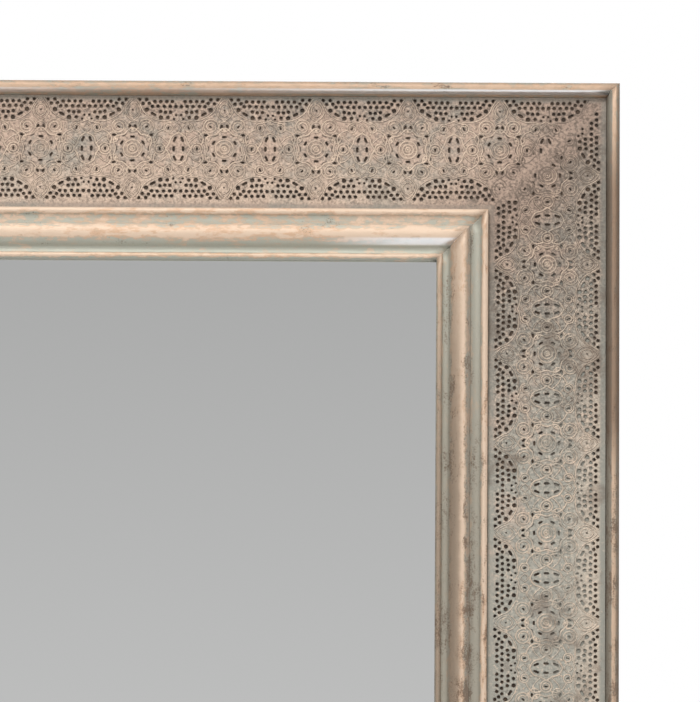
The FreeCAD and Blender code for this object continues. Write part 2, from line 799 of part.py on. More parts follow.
def hangers():
    nodes = {}
    screws = []
    for side, sign in (("left", -1), ("right", 1)):
        for name, form in (("hanger_strap", strap()), ("hanging_ring", ring())):
            form.translate(Vector(sign * HANGER_X, 0, 0))
            nodes[f"{name}_{side}"] = form
        for along, inward in hanger_screw_places():
            screw = pan_screw(sign * along, inward, BACK - 2 * STRAP_THICKNESS)
            screws.append(on_side(screw, side))
    nodes["hanger_screws"] = group(screws)
    return nodes


def mirror():
    nodes = side_pieces()
    nodes.update(glazing())
    nodes.update(corner_joints())
    nodes.update(frame_fasteners())
    nodes.update(turn_buttons())
    nodes.update(hangers())
    nodes["wall_bumpers"] = group(in_four_corners(bumper()))
    return nodes


def main():
    os.makedirs("parts", exist_ok=True)
    for name, shape in mirror().items():
        bad = [solid for solid in shape.Solids if not solid.isValid() or solid.Volume <= 0]
        if bad or not shape.Solids:
            raise ValueError(f"{name} has {len(bad)} bad solids of {len(shape.Solids)}")
        shape.exportStep(f"parts/{name}.step")
        print(f"{name}: {len(shape.Solids)} solids, {shape.Volume:.0f} mm3")


main()
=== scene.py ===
import math

import bpy
from bpy.props import FloatProperty, FloatVectorProperty, IntProperty, PointerProperty
from bpy.types import Operator, Panel, PropertyGroup
from mathutils import Matrix, Vector, noise
from mathutils.geometry import delaunay_2d_cdt


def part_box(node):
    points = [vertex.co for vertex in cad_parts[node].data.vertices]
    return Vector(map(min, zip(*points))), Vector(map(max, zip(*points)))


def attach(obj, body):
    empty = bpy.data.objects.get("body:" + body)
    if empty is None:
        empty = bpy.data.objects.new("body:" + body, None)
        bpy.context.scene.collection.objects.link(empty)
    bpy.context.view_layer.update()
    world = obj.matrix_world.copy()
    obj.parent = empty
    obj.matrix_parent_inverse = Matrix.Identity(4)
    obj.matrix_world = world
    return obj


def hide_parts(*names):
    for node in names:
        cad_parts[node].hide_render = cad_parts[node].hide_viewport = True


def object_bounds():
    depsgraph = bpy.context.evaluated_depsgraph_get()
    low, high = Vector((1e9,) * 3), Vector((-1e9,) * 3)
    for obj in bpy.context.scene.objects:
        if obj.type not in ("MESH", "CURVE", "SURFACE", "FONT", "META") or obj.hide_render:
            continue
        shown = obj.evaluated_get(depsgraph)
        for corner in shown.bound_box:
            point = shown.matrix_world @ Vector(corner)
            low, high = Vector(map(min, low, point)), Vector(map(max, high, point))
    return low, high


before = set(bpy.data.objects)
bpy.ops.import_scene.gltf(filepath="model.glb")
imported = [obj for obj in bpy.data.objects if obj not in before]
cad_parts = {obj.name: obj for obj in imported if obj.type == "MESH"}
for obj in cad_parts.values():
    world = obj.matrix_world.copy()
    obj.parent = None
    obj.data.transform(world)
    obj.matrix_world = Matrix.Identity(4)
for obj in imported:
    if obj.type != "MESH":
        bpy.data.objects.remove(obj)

bl_info = {
    "name": "Filigree wall mirror",
    "version": (1, 0, 0),
    "blender": (4, 5, 0),
    "location": "View3D > Sidebar > Mirror",
    "description": "Dresses a wall mirror whose wood frame is clad in antiqued, pierced sheet metal",
    "category": "Object",
}

# The mirror's sides stand in the XZ plane and its glass looks towards -Y. A side is drawn as the
# top one: x runs along it, a depth is a distance in front of the wall, and "inward" is a distance
# from the frame's outer edge towards the glass.

CAD_LOW, CAD_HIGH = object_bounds()
BODY = "frame"
MM = 0.001
SIDE_TURNS = {"top": 0, "right": 90, "bottom": 180, "left": 270}
STILES = ("left", "right")


def side_box(node):
    """Where the top side's node lies: its outer and inner edge, back and front."""
    low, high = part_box(f"{node}_top")
    return OUTER_Z - high.z, OUTER_Z - low.z, -high.y, -low.y


RIM_LOW, RIM_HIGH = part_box("rim_cladding_top")
OUTER_Z = RIM_HIGH.z
MIDDLE_Z = (OUTER_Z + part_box("rim_cladding_bottom")[0].z) / 2
HALF_WIDTH = RIM_HIGH.x
HALF_HEIGHT = OUTER_Z - MIDDLE_Z
SHEET_OUTER, SHEET_INNER, SHEET_BACK, SHEET_FRONT = side_box("pierced_sheet")
MOULDING_OUTER, MOULDING_INNER, BOARD_FACE, MOULDING_FRONT = side_box("moulding_cladding")
RIM_FLANGE, RIM_BACK, RIM_FRONT = OUTER_Z - RIM_LOW.z, -RIM_HIGH.y, -RIM_LOW.y
SHEET_THICKNESS = SHEET_FRONT - SHEET_BACK
SHEET_CENTRE = (SHEET_OUTER + SHEET_INNER) / 2
MOULDING_WIDTH = MOULDING_INNER - MOULDING_OUTER


def half_length(side):
    return HALF_HEIGHT if side in STILES else HALF_WIDTH


def tint(red, green, blue):
    """A colour read off a 0 to 255 scale, made linear."""
    def linear(level):
        share = level / 255
        return share / 12.92 if share <= 0.04045 else ((share + 0.055) / 1.055) ** 2.4

    return linear(red), linear(green), linear(blue)


def length_value(name, default, description):
    return FloatProperty(
        name=name, description=description, default=default, unit="LENGTH", subtype="DISTANCE"
    )


def angle_value(name, degrees, description):
    return FloatProperty(
        name=name, description=description, default=math.radians(degrees), subtype="ANGLE",
        unit="ROTATION",
    )


def colour_value(name, default, description):
    return FloatVectorProperty(
        name=name, description=description, default=default, size=3, min=0, max=1, subtype="COLOR"
    )


class MirrorFiligreeSizes(PropertyGroup):
    pitch: length_value("Pitch", 75.4 * MM, "From one star to the next")
    half_band: length_value("Half band", 42 * MM, "From the pattern's middle line to its last holes")
    stile_shift: length_value("Stile shift", 5 * MM, "How far down the uprights' pattern starts")
    rail_shift: length_value("Rail shift", 3 * MM, "How much nearer the rim the rails' pattern lies")
    dot_radius: length_value("Dot radius", 1.5 * MM, "Radius of the lunettes' round holes")
    big_dot_radius: length_value("Large dot radius", 1.88 * MM, "Radius of the lunettes' largest holes")
    small_dot_radius: length_value("Small dot radius", 0.98 * MM, "Radius of the lunettes' smallest holes")
    ridge_width: length_value("Ridge width", 2.3 * MM, "Width of the embossed lines")
    ridge_height: length_value("Ridge height", 0.55 * MM, "How far the embossed lines stand up")
    collar: length_value("Collar", 0.7 * MM, "Width of the pale burr around each hole")
    mitre_land: length_value("Mitre land", 2.6 * MM, "Plain metal left on each side of a mitre")
    mitre_fade: length_value("Mitre fade", 17 * MM, "How near a mitre the embossing is rubbed flat")


class MirrorCladdingSizes(PropertyGroup):
    sheet: length_value("Sheet", SHEET_THICKNESS, "Thickness of the folded sheet metal")
    rim_width: length_value("Rim width", 9.2 * MM, "Width of the half-round rim")
    nose_turn: angle_value("Nose turn", 57, "How far round the rim's nose goes past its crest")
    pin_radius: length_value("Pin radius", 2.2 * MM, "Radius of the rim pins' heads")
    pin_rise: length_value("Pin rise", 0.3 * MM, "How far a pin's low dome stands out of the rim")
    pin_inset: length_value("Pin inset", 42 * MM, "From a side's end to the first place for a pin")
    pin_pitch: length_value("Pin pitch", 95 * MM, "Distance between the rim's pins")
    wave: length_value("Wave", 0.16 * MM, "How uneven the hand-worked sheet is")
    wave_length: length_value("Wave length", 38 * MM, "Distance between the dents of the sheet")
    station: length_value("Station", 14 * MM, "Distance between the cross-sections of a sweep")
    sharp: angle_value("Sharp", 35, "The least angle between faces that shows as an edge")
    arc_steps: IntProperty(name="Arc steps", description="Straight runs in each round stretch", default=10)


class MirrorColours(PropertyGroup):
    leaf: colour_value("Leaf", tint(222, 200, 178), "Rubbed silver leaf on the mouldings' rounds")
    tan: colour_value("Tan", tint(208, 172, 142), "Warm wash over the leaf")
    # Near-white of the painted highlight streaks on the top rail
    bright: colour_value("Bright", (0.97, 0.97, 0.98), "Leaf polished by hands")
    # Brown-grey that the uprights' leaf turns low down, also painted over the whole uprights as painted
    # shade
    shade: colour_value("Shade", tint(134, 120, 104), "Brown-grey wash low on the uprights")
    pewter: colour_value("Pewter", tint(181, 181, 168), "Grey-green metal in the hollows")
    # Age also darkens a band of the rim's uprights below the top as painted shade, and partly paints shade
    # in the tables' creases
    age: colour_value("Age", tint(102, 80, 62), "Brown age in creases and spots")
    sheet: colour_value("Sheet", tint(154, 152, 142), "Grey of the pierced sheet")
    sheet_tan: colour_value("Sheet wash", tint(197, 170, 151), "Warm wash on the pierced sheet")
    # The dark patina also carries painted shade: over the uprights, on the rails' outer part under the rim
    # and beside the lines
    sheet_dark: colour_value("Sheet patina", tint(84, 73, 64), "Dark patina in the sheet's ground")
    stain: colour_value("Stain", (0.027, 0.018, 0.012), "Dark stain on the frame's wood")
    silver: colour_value("Silvering", (0.90, 0.905, 0.90), "What the mirror's silvering reflects")
    paint: colour_value("Backing paint", tint(112, 114, 116), "Grey paint on the back of the glass")
    hardboard: colour_value("Hardboard", tint(132, 96, 64), "Brown of the backboard")
    zinc: colour_value("Zinc", (0.62, 0.62, 0.60), "Zinc plating of the steel hardware")
    brass: colour_value("Brass", (0.50, 0.40, 0.24), "Dulled brass of the rim's pins")
    rubber: colour_value("Rubber", (0.030, 0.030, 0.030), "Black moulded rubber")


class MirrorWear(PropertyGroup):
    # Low on the uprights the leaf turns darker and brown-grey, and the pierced sheets get painted light:
    # lighter and greyer, with more glints
    lower_start: length_value("Wash start", 20 * MM, "Below the top edge, where the uprights' wash sets in")
    wash_end: length_value("Wash end", 360 * MM, "Below the top edge, where that wash is full")
    sheet_lower_start: length_value("Sheet wash start", 80 * MM, "The same place for the pierced sheets")
    sheet_wash_end: length_value("Sheet wash end", 450 * MM, "The same place for the pierced sheets")
    # The rim's darkening on the uprights below the top is painted shade
    upright_shade_start: length_value("Smoke start", 20 * MM, "Below the top edge, where the rim darkens")
    upright_shade_full: length_value("Smoke full", 100 * MM, "Below the top edge, where it is darkest from")
    upright_shade_thin: length_value("Smoke thin", 280 * MM, "Below the top edge, where it starts to clear")
    smoke_end: length_value("Smoke end", 340 * MM, "Below the top edge, where it is clear again")
    corner: length_value("Corner", 85 * MM, "How near a mitre the pierced sheets are rubbed darker")
    # From here down, the boards' face behind the uprights' outer holes is painted the sheet's grey
    pale_board_start: length_value("Paste start", 100 * MM, "Below the top edge, where paste shows in holes")
    pale_board_full: length_value("Paste full", 170 * MM, "Below the top edge, where it is full")
    # The streaks are painted highlights on the top rail, strongest near its mitres; the leaf there is also
    # smoother and more metallic
    rim_polish: length_value("Rim polish", 1.8 * MM, "Half width of the rim's polished streak")
    rim_polish_reach: length_value("Rim polish reach", 450 * MM, "How far it runs from a mitre")
    torus_polish_highlight: length_value("Torus polish", 3.6 * MM, "Half width of the moulding's polished streak")
    torus_polish_highlight_reach: length_value("Torus polish reach", 120 * MM, "How far it runs from a mitre")


class MirrorStudio(PropertyGroup):
    distance: length_value("Camera distance", 12.0, "From the camera to the corner that it looks at")
    turn: angle_value("Camera turn", 0.18, "How far the camera stands to the right")
    rise: angle_value("Camera rise", -14.205, "How far the camera stands above")
    roll: angle_value("Camera roll", 0.363, "How far the camera leans")
    focal_pixels: FloatProperty(
        name="Focal length", description="The lens's focal length in the photograph's pixels", default=14667
    )
    photo_width: IntProperty(
        name="Photograph width", description="The photograph's width in its pixels", default=700
    )
    aim: FloatVectorProperty(
        name="Aim", description="The point that the camera looks at", default=(0.1797, -0.026, 0.0334),
        subtype="XYZ", unit="LENGTH",
    )
    floor_drop: length_value("Floor drop", 0.96, "From the mirror's lower edge down to the floor")
    floor_radius: length_value("Floor radius", 9.0, "Radius of the pale floor")
    key_power: FloatProperty(name="Key lamp", description="Power of the key lamp in watts", default=158)
    fill: FloatProperty(name="Fill", description="How brightly the room lights the object", default=0.5)


# Shader maths: arithmetic on an Expression adds Math nodes


class Expression:
    """A number or colour that a node tree works out."""

    def __init__(self, graph, socket):
        self.graph = graph
        self.socket = socket

    def math(self, operation, *values):
        return self.graph.add("ShaderNodeMath", {"operation": operation}, dict(enumerate(values)))

    def __add__(self, other):
        return self.math("ADD", self, other)

    def __radd__(self, other):
        return self.math("ADD", other, self)

    def __sub__(self, other):
        return self.math("SUBTRACT", self, other)

    def __rsub__(self, other):
        return self.math("SUBTRACT", other, self)

    def __mul__(self, other):
        return self.math("MULTIPLY", self, other)

    def __rmul__(self, other):
        return self.math("MULTIPLY", other, self)

    def __truediv__(self, other):
        return self.math("DIVIDE", self, other)

    def size(self):
        return self.math("ABSOLUTE", self)

    def root(self):
        return self.math("SQRT", self)

    def least(self, other):
        return self.math("MINIMUM", self, other)

    def most(self, other):
        return self.math("MAXIMUM", self, other)

    def below(self, other):
        return self.math("LESS_THAN", self, other)

    def ramp(self, low, high):
        """0 at low and 1 at high, smoothly, whichever of the two is larger."""
        values = {"Value": self, "From Min": low, "From Max": high}
        return self.graph.add("ShaderNodeMapRange", {"interpolation_type": "SMOOTHSTEP"}, values)


def between(share, first, second):
    """A number between two numbers."""
    return first + (second - first) * share


class Graph:
    """A node tree, and the ways to add nodes to it."""

    def __init__(self, tree):
        self.tree = tree

    def set(self, socket, value):
        if isinstance(value, Expression):
            self.tree.links.new(value.socket, socket)
        elif socket.type == "RGBA":
            socket.default_value = (*value, 1)
        else:
            socket.default_value = value

    def add(self, kind, settings=None, values=None, output=0):
        """A node of any kind: its settings first, then its inputs by name or number."""
        node = self.tree.nodes.new(kind)
        for name, setting in (settings or {}).items():
            if name == "stops":
                self.set_stops(node.color_ramp, setting)
            else:
                setattr(node, name, setting)
        for name, value in (values or {}).items():
            self.set(node.inputs[name], value)
        return Expression(self, node.outputs[output])

    def set_stops(self, ramp, stops):
        """Grey levels at places from 0 to 1."""
        while len(ramp.elements) > 1:
            ramp.elements.remove(ramp.elements[-1])
        (place, level), *rest = stops
        ramp.elements[0].position = place
        ramp.elements[0].color = (level, level, level, 1)
        for place, level in rest:
            ramp.elements.new(place).color = (level, level, level, 1)

    def mix(self, share, first, second):
        """A colour between two colours."""
        node = self.tree.nodes.new("ShaderNodeMix")
        node.data_type = "RGBA"
        sockets = {socket.identifier: socket for socket in (*node.inputs, *node.outputs)}
        self.set(sockets["Factor_Float"], share)
        self.set(sockets["A_Color"], first)
        self.set(sockets["B_Color"], second)
        return Expression(self, sockets["Result_Color"])


class Finish(Graph):
    """A material with its Principled shader and the object coordinates, whole and as three numbers."""

    def __init__(self, name, **constants):
        self.material = bpy.data.materials.new(name)
        self.material.use_nodes = True
        super().__init__(self.material.node_tree)
        self.shader = self.tree.nodes["Principled BSDF"]
        self.whole = self.add("ShaderNodeTexCoord", output="Object")
        self.x, self.y, self.z = (
            self.add("ShaderNodeSeparateXYZ", {}, {0: self.whole}, axis) for axis in "XYZ"
        )
        self.feed(**constants)

    def feed(self, **links):
        """Sets the shader's sockets, named in small letters with _ for each space."""
        sockets = {socket.name.lower().replace(" ", "_"): socket for socket in self.shader.inputs}
        for name, value in links.items():
            self.set(sockets[name], value)
        return self.material

    def vector(self, x, y, z):
        return self.add("ShaderNodeCombineXYZ", {}, {0: x, 1: y, 2: z})

    def noise(self, vector, scale, detail=4, roughness=0.55, distortion=0.0):
        values = {
            "Vector": vector, "Scale": scale, "Detail": detail,
            "Roughness": roughness, "Distortion": distortion,
        }
        return self.add("ShaderNodeTexNoise", {}, values, "Fac")

    def bump(self, height, strength, distance, normal=None):
        values = {"Height": height, "Strength": strength, "Distance": distance}
        if normal is not None:
            values["Normal"] = normal
        return self.add("ShaderNodeBump", {}, values)

    def below_top(self, start, end):
        """0 at start and 1 at end, both of them distances below the mirror's top edge."""
        return self.z.ramp(CAD_HIGH.z - start, CAD_HIGH.z - end)

    def mitre_distance(self):
        """How far a place lies from the nearest mitre, along the side."""
        return (HALF_WIDTH - self.x.size() - (HALF_HEIGHT - (self.z - MIDDLE_Z).size())).size()


# Far enough that an upright's grain differs from a rail's
UPRIGHT_SHIFT = 3.0


def side_place(finish):
    """Numbers for the clad sides: along the side, inward from the outer edge, and forward."""
    height = finish.z - MIDDLE_Z
    from_side = HALF_WIDTH - finish.x.size()
    from_end = HALF_HEIGHT - height.size()
    upright = from_side.below(from_end)
    along = between(upright, finish.x, height + UPRIGHT_SHIFT)
    return along, from_side.least(from_end), 0 - finish.y, upright


# Finishes


def leaf_finish(scene, name, rounds, polish_highlight, rub, upright_shade=0.0):
    """Rubbed silver leaf: warm on the rounds, grey-green in the hollows, brown in the creases.

    rounds holds places across the piece: how far inward, then warmth and age on a rail, and warmth,
    age and wash on an upright, where wash is how far an upright turns brown-grey low down. The rail and
    upright columns differ partly as painted light and shade. The next argument places a near-white
    streak: its place inward, its half width and how far it runs from a mitre. It is a painted highlight
    on the top rail only, where the leaf is also smoother and more metallic. rub is how much leaf shows,
    and the last argument how strongly painted shade darkens the uprights' upper part."""
    colours, wear = scene.mirror_colours, scene.mirror_wear
    polish_highlight_place, polish_highlight_width, polish_highlight_reach = polish_highlight
    finish = Finish(name, specular_ior_level=0.5)
    along, inward, depth, upright = side_place(finish)
    flat = finish.vector(along, inward, depth)
    first, last = rounds[0][0], rounds[-1][0]
    wander = (finish.noise(flat, 110, 4, 0.7) - 0.5) * 0.06
    share = (inward - first) / (last - first) + wander
    ramps = []
    for column in range(1, len(rounds[0])):
        stops = [((row[0] - first) / (last - first), row[column]) for row in rounds]
        ramps.append(finish.add("ShaderNodeValToRGB", {"stops": stops}, {"Fac": share}))
    rail_warmth, rail_age_and_shade, upright_warmth, upright_age_and_shade, wash = ramps
    warmth = between(upright, rail_warmth, upright_warmth)
    crease_and_shade = between(upright, rail_age_and_shade, upright_age_and_shade)
    streaks = finish.noise(finish.vector(along * 0.22, inward, depth), 300, 5, 0.6)
    blotches = finish.noise(finish.vector(along, inward * 1.8, depth), 30, 5, 0.65, 0.3)
    specks = finish.noise(flat, 700, 4, 0.7)
    slow = finish.noise(finish.vector(along, inward * 0.3, 0), 7, 2, 0.5)
    chips = finish.noise(finish.vector(along * 0.5, inward, depth), 220, 6, 0.65, 0.3).ramp(0.43, 0.58)
    # Low on the uprights the leaf turns brown-grey; the next two lines give a band of painted shade below
    # the uprights' top
    lower = finish.below_top(wear.lower_start, wear.wash_end) * upright
    upright_shaded = finish.below_top(wear.upright_shade_start, wear.upright_shade_full)
    upright_shaded = upright_shaded * finish.below_top(wear.smoke_end, wear.upright_shade_thin) * upright * upright_shade
    warm = warmth + (blotches - 0.5) * 0.9 + (streaks - 0.5) * 0.8 + (chips - 0.5) * 0.3
    warm = (warm - lower * 0.1).ramp(0.16, 0.76)
    rubbed = blotches * 0.40 + streaks * 0.50 + chips * 0.08 + warmth * 0.22 + (slow - 0.5) * 0.3
    rubbed = rubbed.ramp(0.55, 0.70) * (1 - lower * wash * 0.5) * rub
    worn = blotches * 0.42 + specks * 0.33 + streaks * 0.25 - crease_and_shade * 0.10 - lower * 0.07
    aged_and_shaded = worn.ramp(0.42, 0.31).most(crease_and_shade.ramp(0.25, 1.0) * (0.5 + specks))
    colour = finish.mix(warm, colours.pewter, colours.tan)
    colour = finish.mix(rubbed * warm, colour, colours.leaf)
    # Brown-grey low on the uprights by the wash column, and painted shade over the whole uprights
    colour = finish.mix(lower * wash * 0.75 + upright * 0.12, colour, colours.shade)
    colour = finish.mix(upright_shaded, colour, colours.age)
    # Painted highlight: a near-white streak on the top rail, strongest near its mitres; the leaf there is
    # also smoother and more metallic
    near = finish.mitre_distance().ramp(polish_highlight_reach, 0.25 * polish_highlight_reach) * (1 - upright)
    near = near * depth.ramp(RIM_BACK, BOARD_FACE) * finish.z.ramp(MIDDLE_Z, OUTER_Z)
    streak = (inward - polish_highlight_place).size().ramp(polish_highlight_width, 0.5 * polish_highlight_width) * near
    streak = streak * (0.55 + streaks * 0.9).least(1)
    colour = finish.mix(streak * 0.95, colour, colours.bright)
    # Age spots, and the tables' creases, which partly paint shade
    colour = finish.mix((aged_and_shaded * 0.85).least(1), colour, colours.age)
    normal = finish.bump(finish.noise(flat, 140, 4, 0.6), 0.6, 0.8 * MM)
    normal = finish.bump(specks, 0.5, 0.3 * MM, normal)
    return finish.feed(
        base_color=colour,
        roughness=0.5 + streaks * 0.2 + aged_and_shaded * 0.2 - streak * 0.3,
        metallic=0.45 - aged_and_shaded * 0.35 + streak * 0.45,
        normal=normal,
    )


def outward_share(inward):
    """Where a place lies across the pierced sheet: 1 at its outer edge and -1 at its inner one."""
    return (SHEET_CENTRE - inward) / (SHEET_INNER - SHEET_CENTRE)


def sheet_finish(scene):
    """The pierced sheet: grey pewter with a tan wash, darker in its ground than on its lines, with painted
    shade and painted light on top.
    """
    colours, wear = scene.mirror_colours, scene.mirror_wear
    finish = Finish("pierced_sheet", specular_ior_level=0.5)
    whole = finish.whole
    _, inward, _, upright = side_place(finish)
    rail = 1 - upright
    outward = outward_share(inward)
    relief = finish.add("ShaderNodeAttribute", {"attribute_name": "relief"}, {}, "Fac")
    blotches = finish.noise(whole, 13, 5, 0.6, 0.3)
    patches = finish.noise(whole, 48, 5, 0.65, 0.5)
    grain = finish.noise(whole, 430, 3, 0.75)
    corner = finish.mitre_distance().ramp(wear.corner, 0.0)
    # Painted light: low on the uprights the sheet is painted lighter and greyer, with more glints
    lower = finish.below_top(wear.sheet_lower_start, wear.sheet_wash_end) * upright
    margin = outward.size().ramp(0.87, 0.94)
    edge = outward.ramp(0.86, 1.0)
    plain = margin.most(corner * 0.8)
    curls = (finish.noise(whole, 150, 3, 0.6, 1.6) - 0.5).size().ramp(0.07, 0.0) * (1 - plain)
    warm = 0.62 - outward * 0.10 * upright + corner * 0.25 - upright * 0.14 - lower * 0.4
    warm = (warm + (blotches - 0.5) * 1.6 + (patches - 0.5) * 1.3 + (grain - 0.5) * 0.5).ramp(0.2, 0.85)
    colour = finish.mix(warm, colours.sheet, colours.sheet_tan)
    colour = finish.mix(margin * (0.4 + edge * 0.3), colour, colours.sheet)
    pale = outward.ramp(0.1, -0.7) * rail + outward.ramp(0.3, 0.8) * upright
    colour = finish.mix(pale * 0.42 * (1 - corner) * (1 - margin), colour, colours.leaf)
    specks = grain.ramp(0.56, 0.36) * (1 - margin * 0.6)
    flanks = relief.ramp(0.02, 0.12) * relief.ramp(0.6, 0.34)
    # Dark patina: real specks and corner patina, patina and painted shade beside the lines, and painted
    # shade over the uprights and under the rails' rim; painted light lifts it at the outer edge, on the
    # crests and low on the uprights
    shadow = 0.25 + specks * 0.42 + flanks * 0.3 + corner * 0.16 - edge * 0.15
    shadow = shadow + upright * (0.32 - corner * 0.2) + outward.ramp(0.3, 0.8) * rail * (1 - edge) * 0.16
    shadow = shadow - curls * 0.15 - relief.ramp(0.5, 0.9) * 0.4 - lower * 0.7
    colour = finish.mix(shadow.most(0).least(0.85), colour, colours.sheet_dark)
    # Leaf on the crests, curls and grain: rubbed leaf and painted highlight, with more glints low on the
    # uprights as painted light
    light = relief.ramp(0.3, 0.7) * (0.2 + patches.ramp(0.36, 0.62) * 0.6)
    light = light * (1 - upright * (0.4 - lower * 0.3)) + curls * 0.15
    light = light + grain.ramp(0.54, 0.72) * (0.35 + lower * 0.4)
    colour = finish.mix(light.least(0.9) * (1 - plain * 0.5), colour, colours.leaf)
    smudge = (patches * 0.5 + blotches * 0.6 - upright * 0.045 - corner * 0.035).ramp(0.47, 0.38)
    colour = finish.mix(smudge * 0.45, colour, colours.age)
    normal = finish.bump(grain, 0.5, 0.4 * MM, finish.bump(curls, 0.3, 0.4 * MM))
    return finish.feed(
        base_color=colour, roughness=0.42 + grain * 0.25, metallic=0.5 - smudge * 0.3, normal=normal
    )


def wood_finish(scene):
    """Dark stained wood; behind the uprights' outer holes the boards' face is painted the sheet's grey."""
    colours, wear = scene.mirror_colours, scene.mirror_wear
    finish = Finish("stained_wood", specular_ior_level=0.3)
    along, inward, depth, upright = side_place(finish)
    grain = finish.noise(finish.vector(along * 0.06, inward, depth), 420, 6, 0.6, 0.6)
    rings = finish.noise(finish.vector(along * 0.1, inward, depth * 2.0), 60, 4, 0.5, 1.5)
    lighter = tuple(min(1, level * 4.2) for level in colours.stain)
    colour = finish.mix((grain * 0.6 + rings * 0.5).ramp(0.4, 0.75), colours.stain, lighter)
    outward = outward_share(inward)
    # The boards' face behind the uprights' outer holes is painted the sheet's grey from below the top down
    pale_board = outward.ramp(-0.15, 0.45) * outward.ramp(0.81, 0.77) * upright
    pale_board = pale_board * depth.ramp(BOARD_FACE - MM, BOARD_FACE)
    pale_board = pale_board * finish.below_top(wear.pale_board_start, wear.pale_board_full)
    clouds = finish.noise(finish.whole, 60, 3, 0.6)
    colour = finish.mix(pale_board * (clouds * 0.4 + 0.65), colour, colours.sheet)
    normal = finish.bump(grain, 0.4, 0.3 * MM)
    return finish.feed(base_color=colour, roughness=0.62 + grain * 0.2, normal=normal)


def hardboard_finish(brown):
    finish = Finish("hardboard", specular_ior_level=0.3)
    fibres = finish.noise(finish.whole, 650, 6, 0.75, 1.2)
    clouds = finish.noise(finish.whole, 9, 3, 0.5)
    darker = tuple(level * 0.55 for level in brown)
    colour = finish.mix((fibres * 0.75 + clouds * 0.35).ramp(0.35, 0.75), darker, brown)
    normal = finish.bump(fibres, 0.35, 0.2 * MM)
    return finish.feed(base_color=colour, roughness=0.6 + fibres * 0.2, normal=normal)


# The backing paint's two edges, in front of the glass's back
PAINT_FRONT, PAINT_FULL = 0.4 * MM, 0.1 * MM


def glass_finish(silver, paint):
    """Silvered glass whose back carries grey backing paint."""
    finish = Finish("silvered_glass", ior=1.52)
    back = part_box("mirror_glass")[1].y
    painted = finish.y.ramp(back - PAINT_FRONT, back - PAINT_FULL)
    haze = finish.noise(finish.whole, 2.2, 2, 0.5)
    return finish.feed(
        base_color=finish.mix(painted, silver, paint),
        metallic=1 - painted,
        roughness=0.015 + haze * 0.01 + painted * 0.5,
    )


def metal_finish(name, colour, roughness, brushed):
    """Plated or solid metal with a fine drawn grain and a little tarnish."""
    finish = Finish(name, metallic=1.0)
    drawn = finish.noise(finish.vector(finish.x, finish.y, finish.z * brushed), 700, 4, 0.6)
    tarnish = finish.noise(finish.whole, 110, 4, 0.6)
    dull = tuple(level * 0.55 for level in colour)
    shade = finish.mix((tarnish * 0.7 + drawn * 0.3).ramp(0.62, 0.38) * 0.6, colour, dull)
    normal = finish.bump(drawn, 0.2, 0.1 * MM)
    return finish.feed(base_color=shade, roughness=roughness + tarnish * 0.2, normal=normal)


def rubber_finish(black):
    finish = Finish("rubber", specular_ior_level=0.35)
    grain = finish.noise(finish.whole, 1200, 3, 0.6)
    paler = tuple(level * 1.9 for level in black)
    colour = finish.mix(grain.ramp(0.35, 0.7), black, paler)
    normal = finish.bump(grain, 0.3, 0.2 * MM)
    return finish.feed(base_color=colour, roughness=0.6 + grain * 0.15, normal=normal)


# Meshes


def side_matrix(side):
    turn = Matrix.Rotation(math.radians(SIDE_TURNS[side]), 4, "Y")
    reach = HALF_WIDTH if side in STILES else HALF_HEIGHT
    return Matrix.Translation((0, 0, MIDDLE_Z)) @ turn @ Matrix.Translation((0, 0, reach))


def new_object(name, vertices, faces, material, relief=None):
    mesh = bpy.data.meshes.new(name)
    mesh.from_pydata(vertices, [], faces)
    mesh.materials.append(material)
    if relief is not None:
        values = mesh.attributes.new("relief", "FLOAT", "POINT")
        values.data.foreach_set("value", relief)
    mesh.validate()
    piece = bpy.data.objects.new(name, mesh)
    bpy.context.scene.collection.objects.link(piece)
    return piece


def dress(piece, slot, *nodes):
    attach(piece, BODY)
    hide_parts(*nodes)


def applied(piece):
    """The piece with its modifiers made plain mesh."""
    bpy.context.view_layer.update()
    graph = bpy.context.evaluated_depsgraph_get()
    mesh = bpy.data.meshes.new_from_object(piece.evaluated_get(graph))
    piece.modifiers.clear()
    piece.data = mesh
    return piece


# Filigree. Places are measured from the star's middle: u along the side and v towards the rim.
# The tables hold shares of half the pitch, counted from the oval's middle, and of the half band. The
# petals' are counted from the star's middle, and the star's own are reaches from it.

LUNETTE_DOT_SHARES = (
    ((0.138, 0.955), (0.26, 0.955), (0.39, 0.955), (0.522, 0.955), (0.70, 0.993), (0.854, 0.993)),
    ((0.061, 0.855), (0.183, 0.855), (0.313, 0.855), (0.451, 0.86), (0.573, 0.855)),
    ((0.642, 0.919), (0.777, 0.91), (0.175, 0.738), (0.286, 0.736), (0.393, 0.752), (0.233, 0.631)),
)
LUNETTE_BIG_DOT_SHARES = ((0.695, 0.788), (0.387, 0.629))
LUNETTE_SMALL_DOT_SHARES = ((0.053, 0.679), (0.103, 0.600))
ARCH_SHARES = (
    (0.934, 1.024), (0.891, 0.962), (0.828, 0.871), (0.759, 0.743), (0.599, 0.629),
    (0.408, 0.564), (0.239, 0.562), (0.111, 0.533), (0, 0.586),
)
OVAL_SHARES = ((0, 0.324), (0.149, 0.243), (0.202, 0.107), (0.281, 0))
LEAF_SHARES = ((0, 0.345), (0.09, 0.417), (0, 0.512))
PETAL_SHARES = ((0, 0.562), (0.101, 0.629), (0.170, 0.729), (0.143, 0.848), (0.064, 0.943), (0, 0.990))
PETAL_HEART_SHARES = ((0, 0.650), (0.078, 0.700), (0.108, 0.781), (0.078, 0.862), (0, 0.910))
ACANTHUS_SHARES = ((0.507, 0.088), (0.544, 0.21), (0.456, 0.331), (0.302, 0.40))
STEM_SHARES = ((0.205, 0.10), (0.276, 0.167), (0.371, 0.240), (0.470, 0.270))
BOSS_SHARES = ((0.456, 0.436), (0.180, 0.300), (0.560, 0.345))
PETAL_DOT_SHARE = 0.783
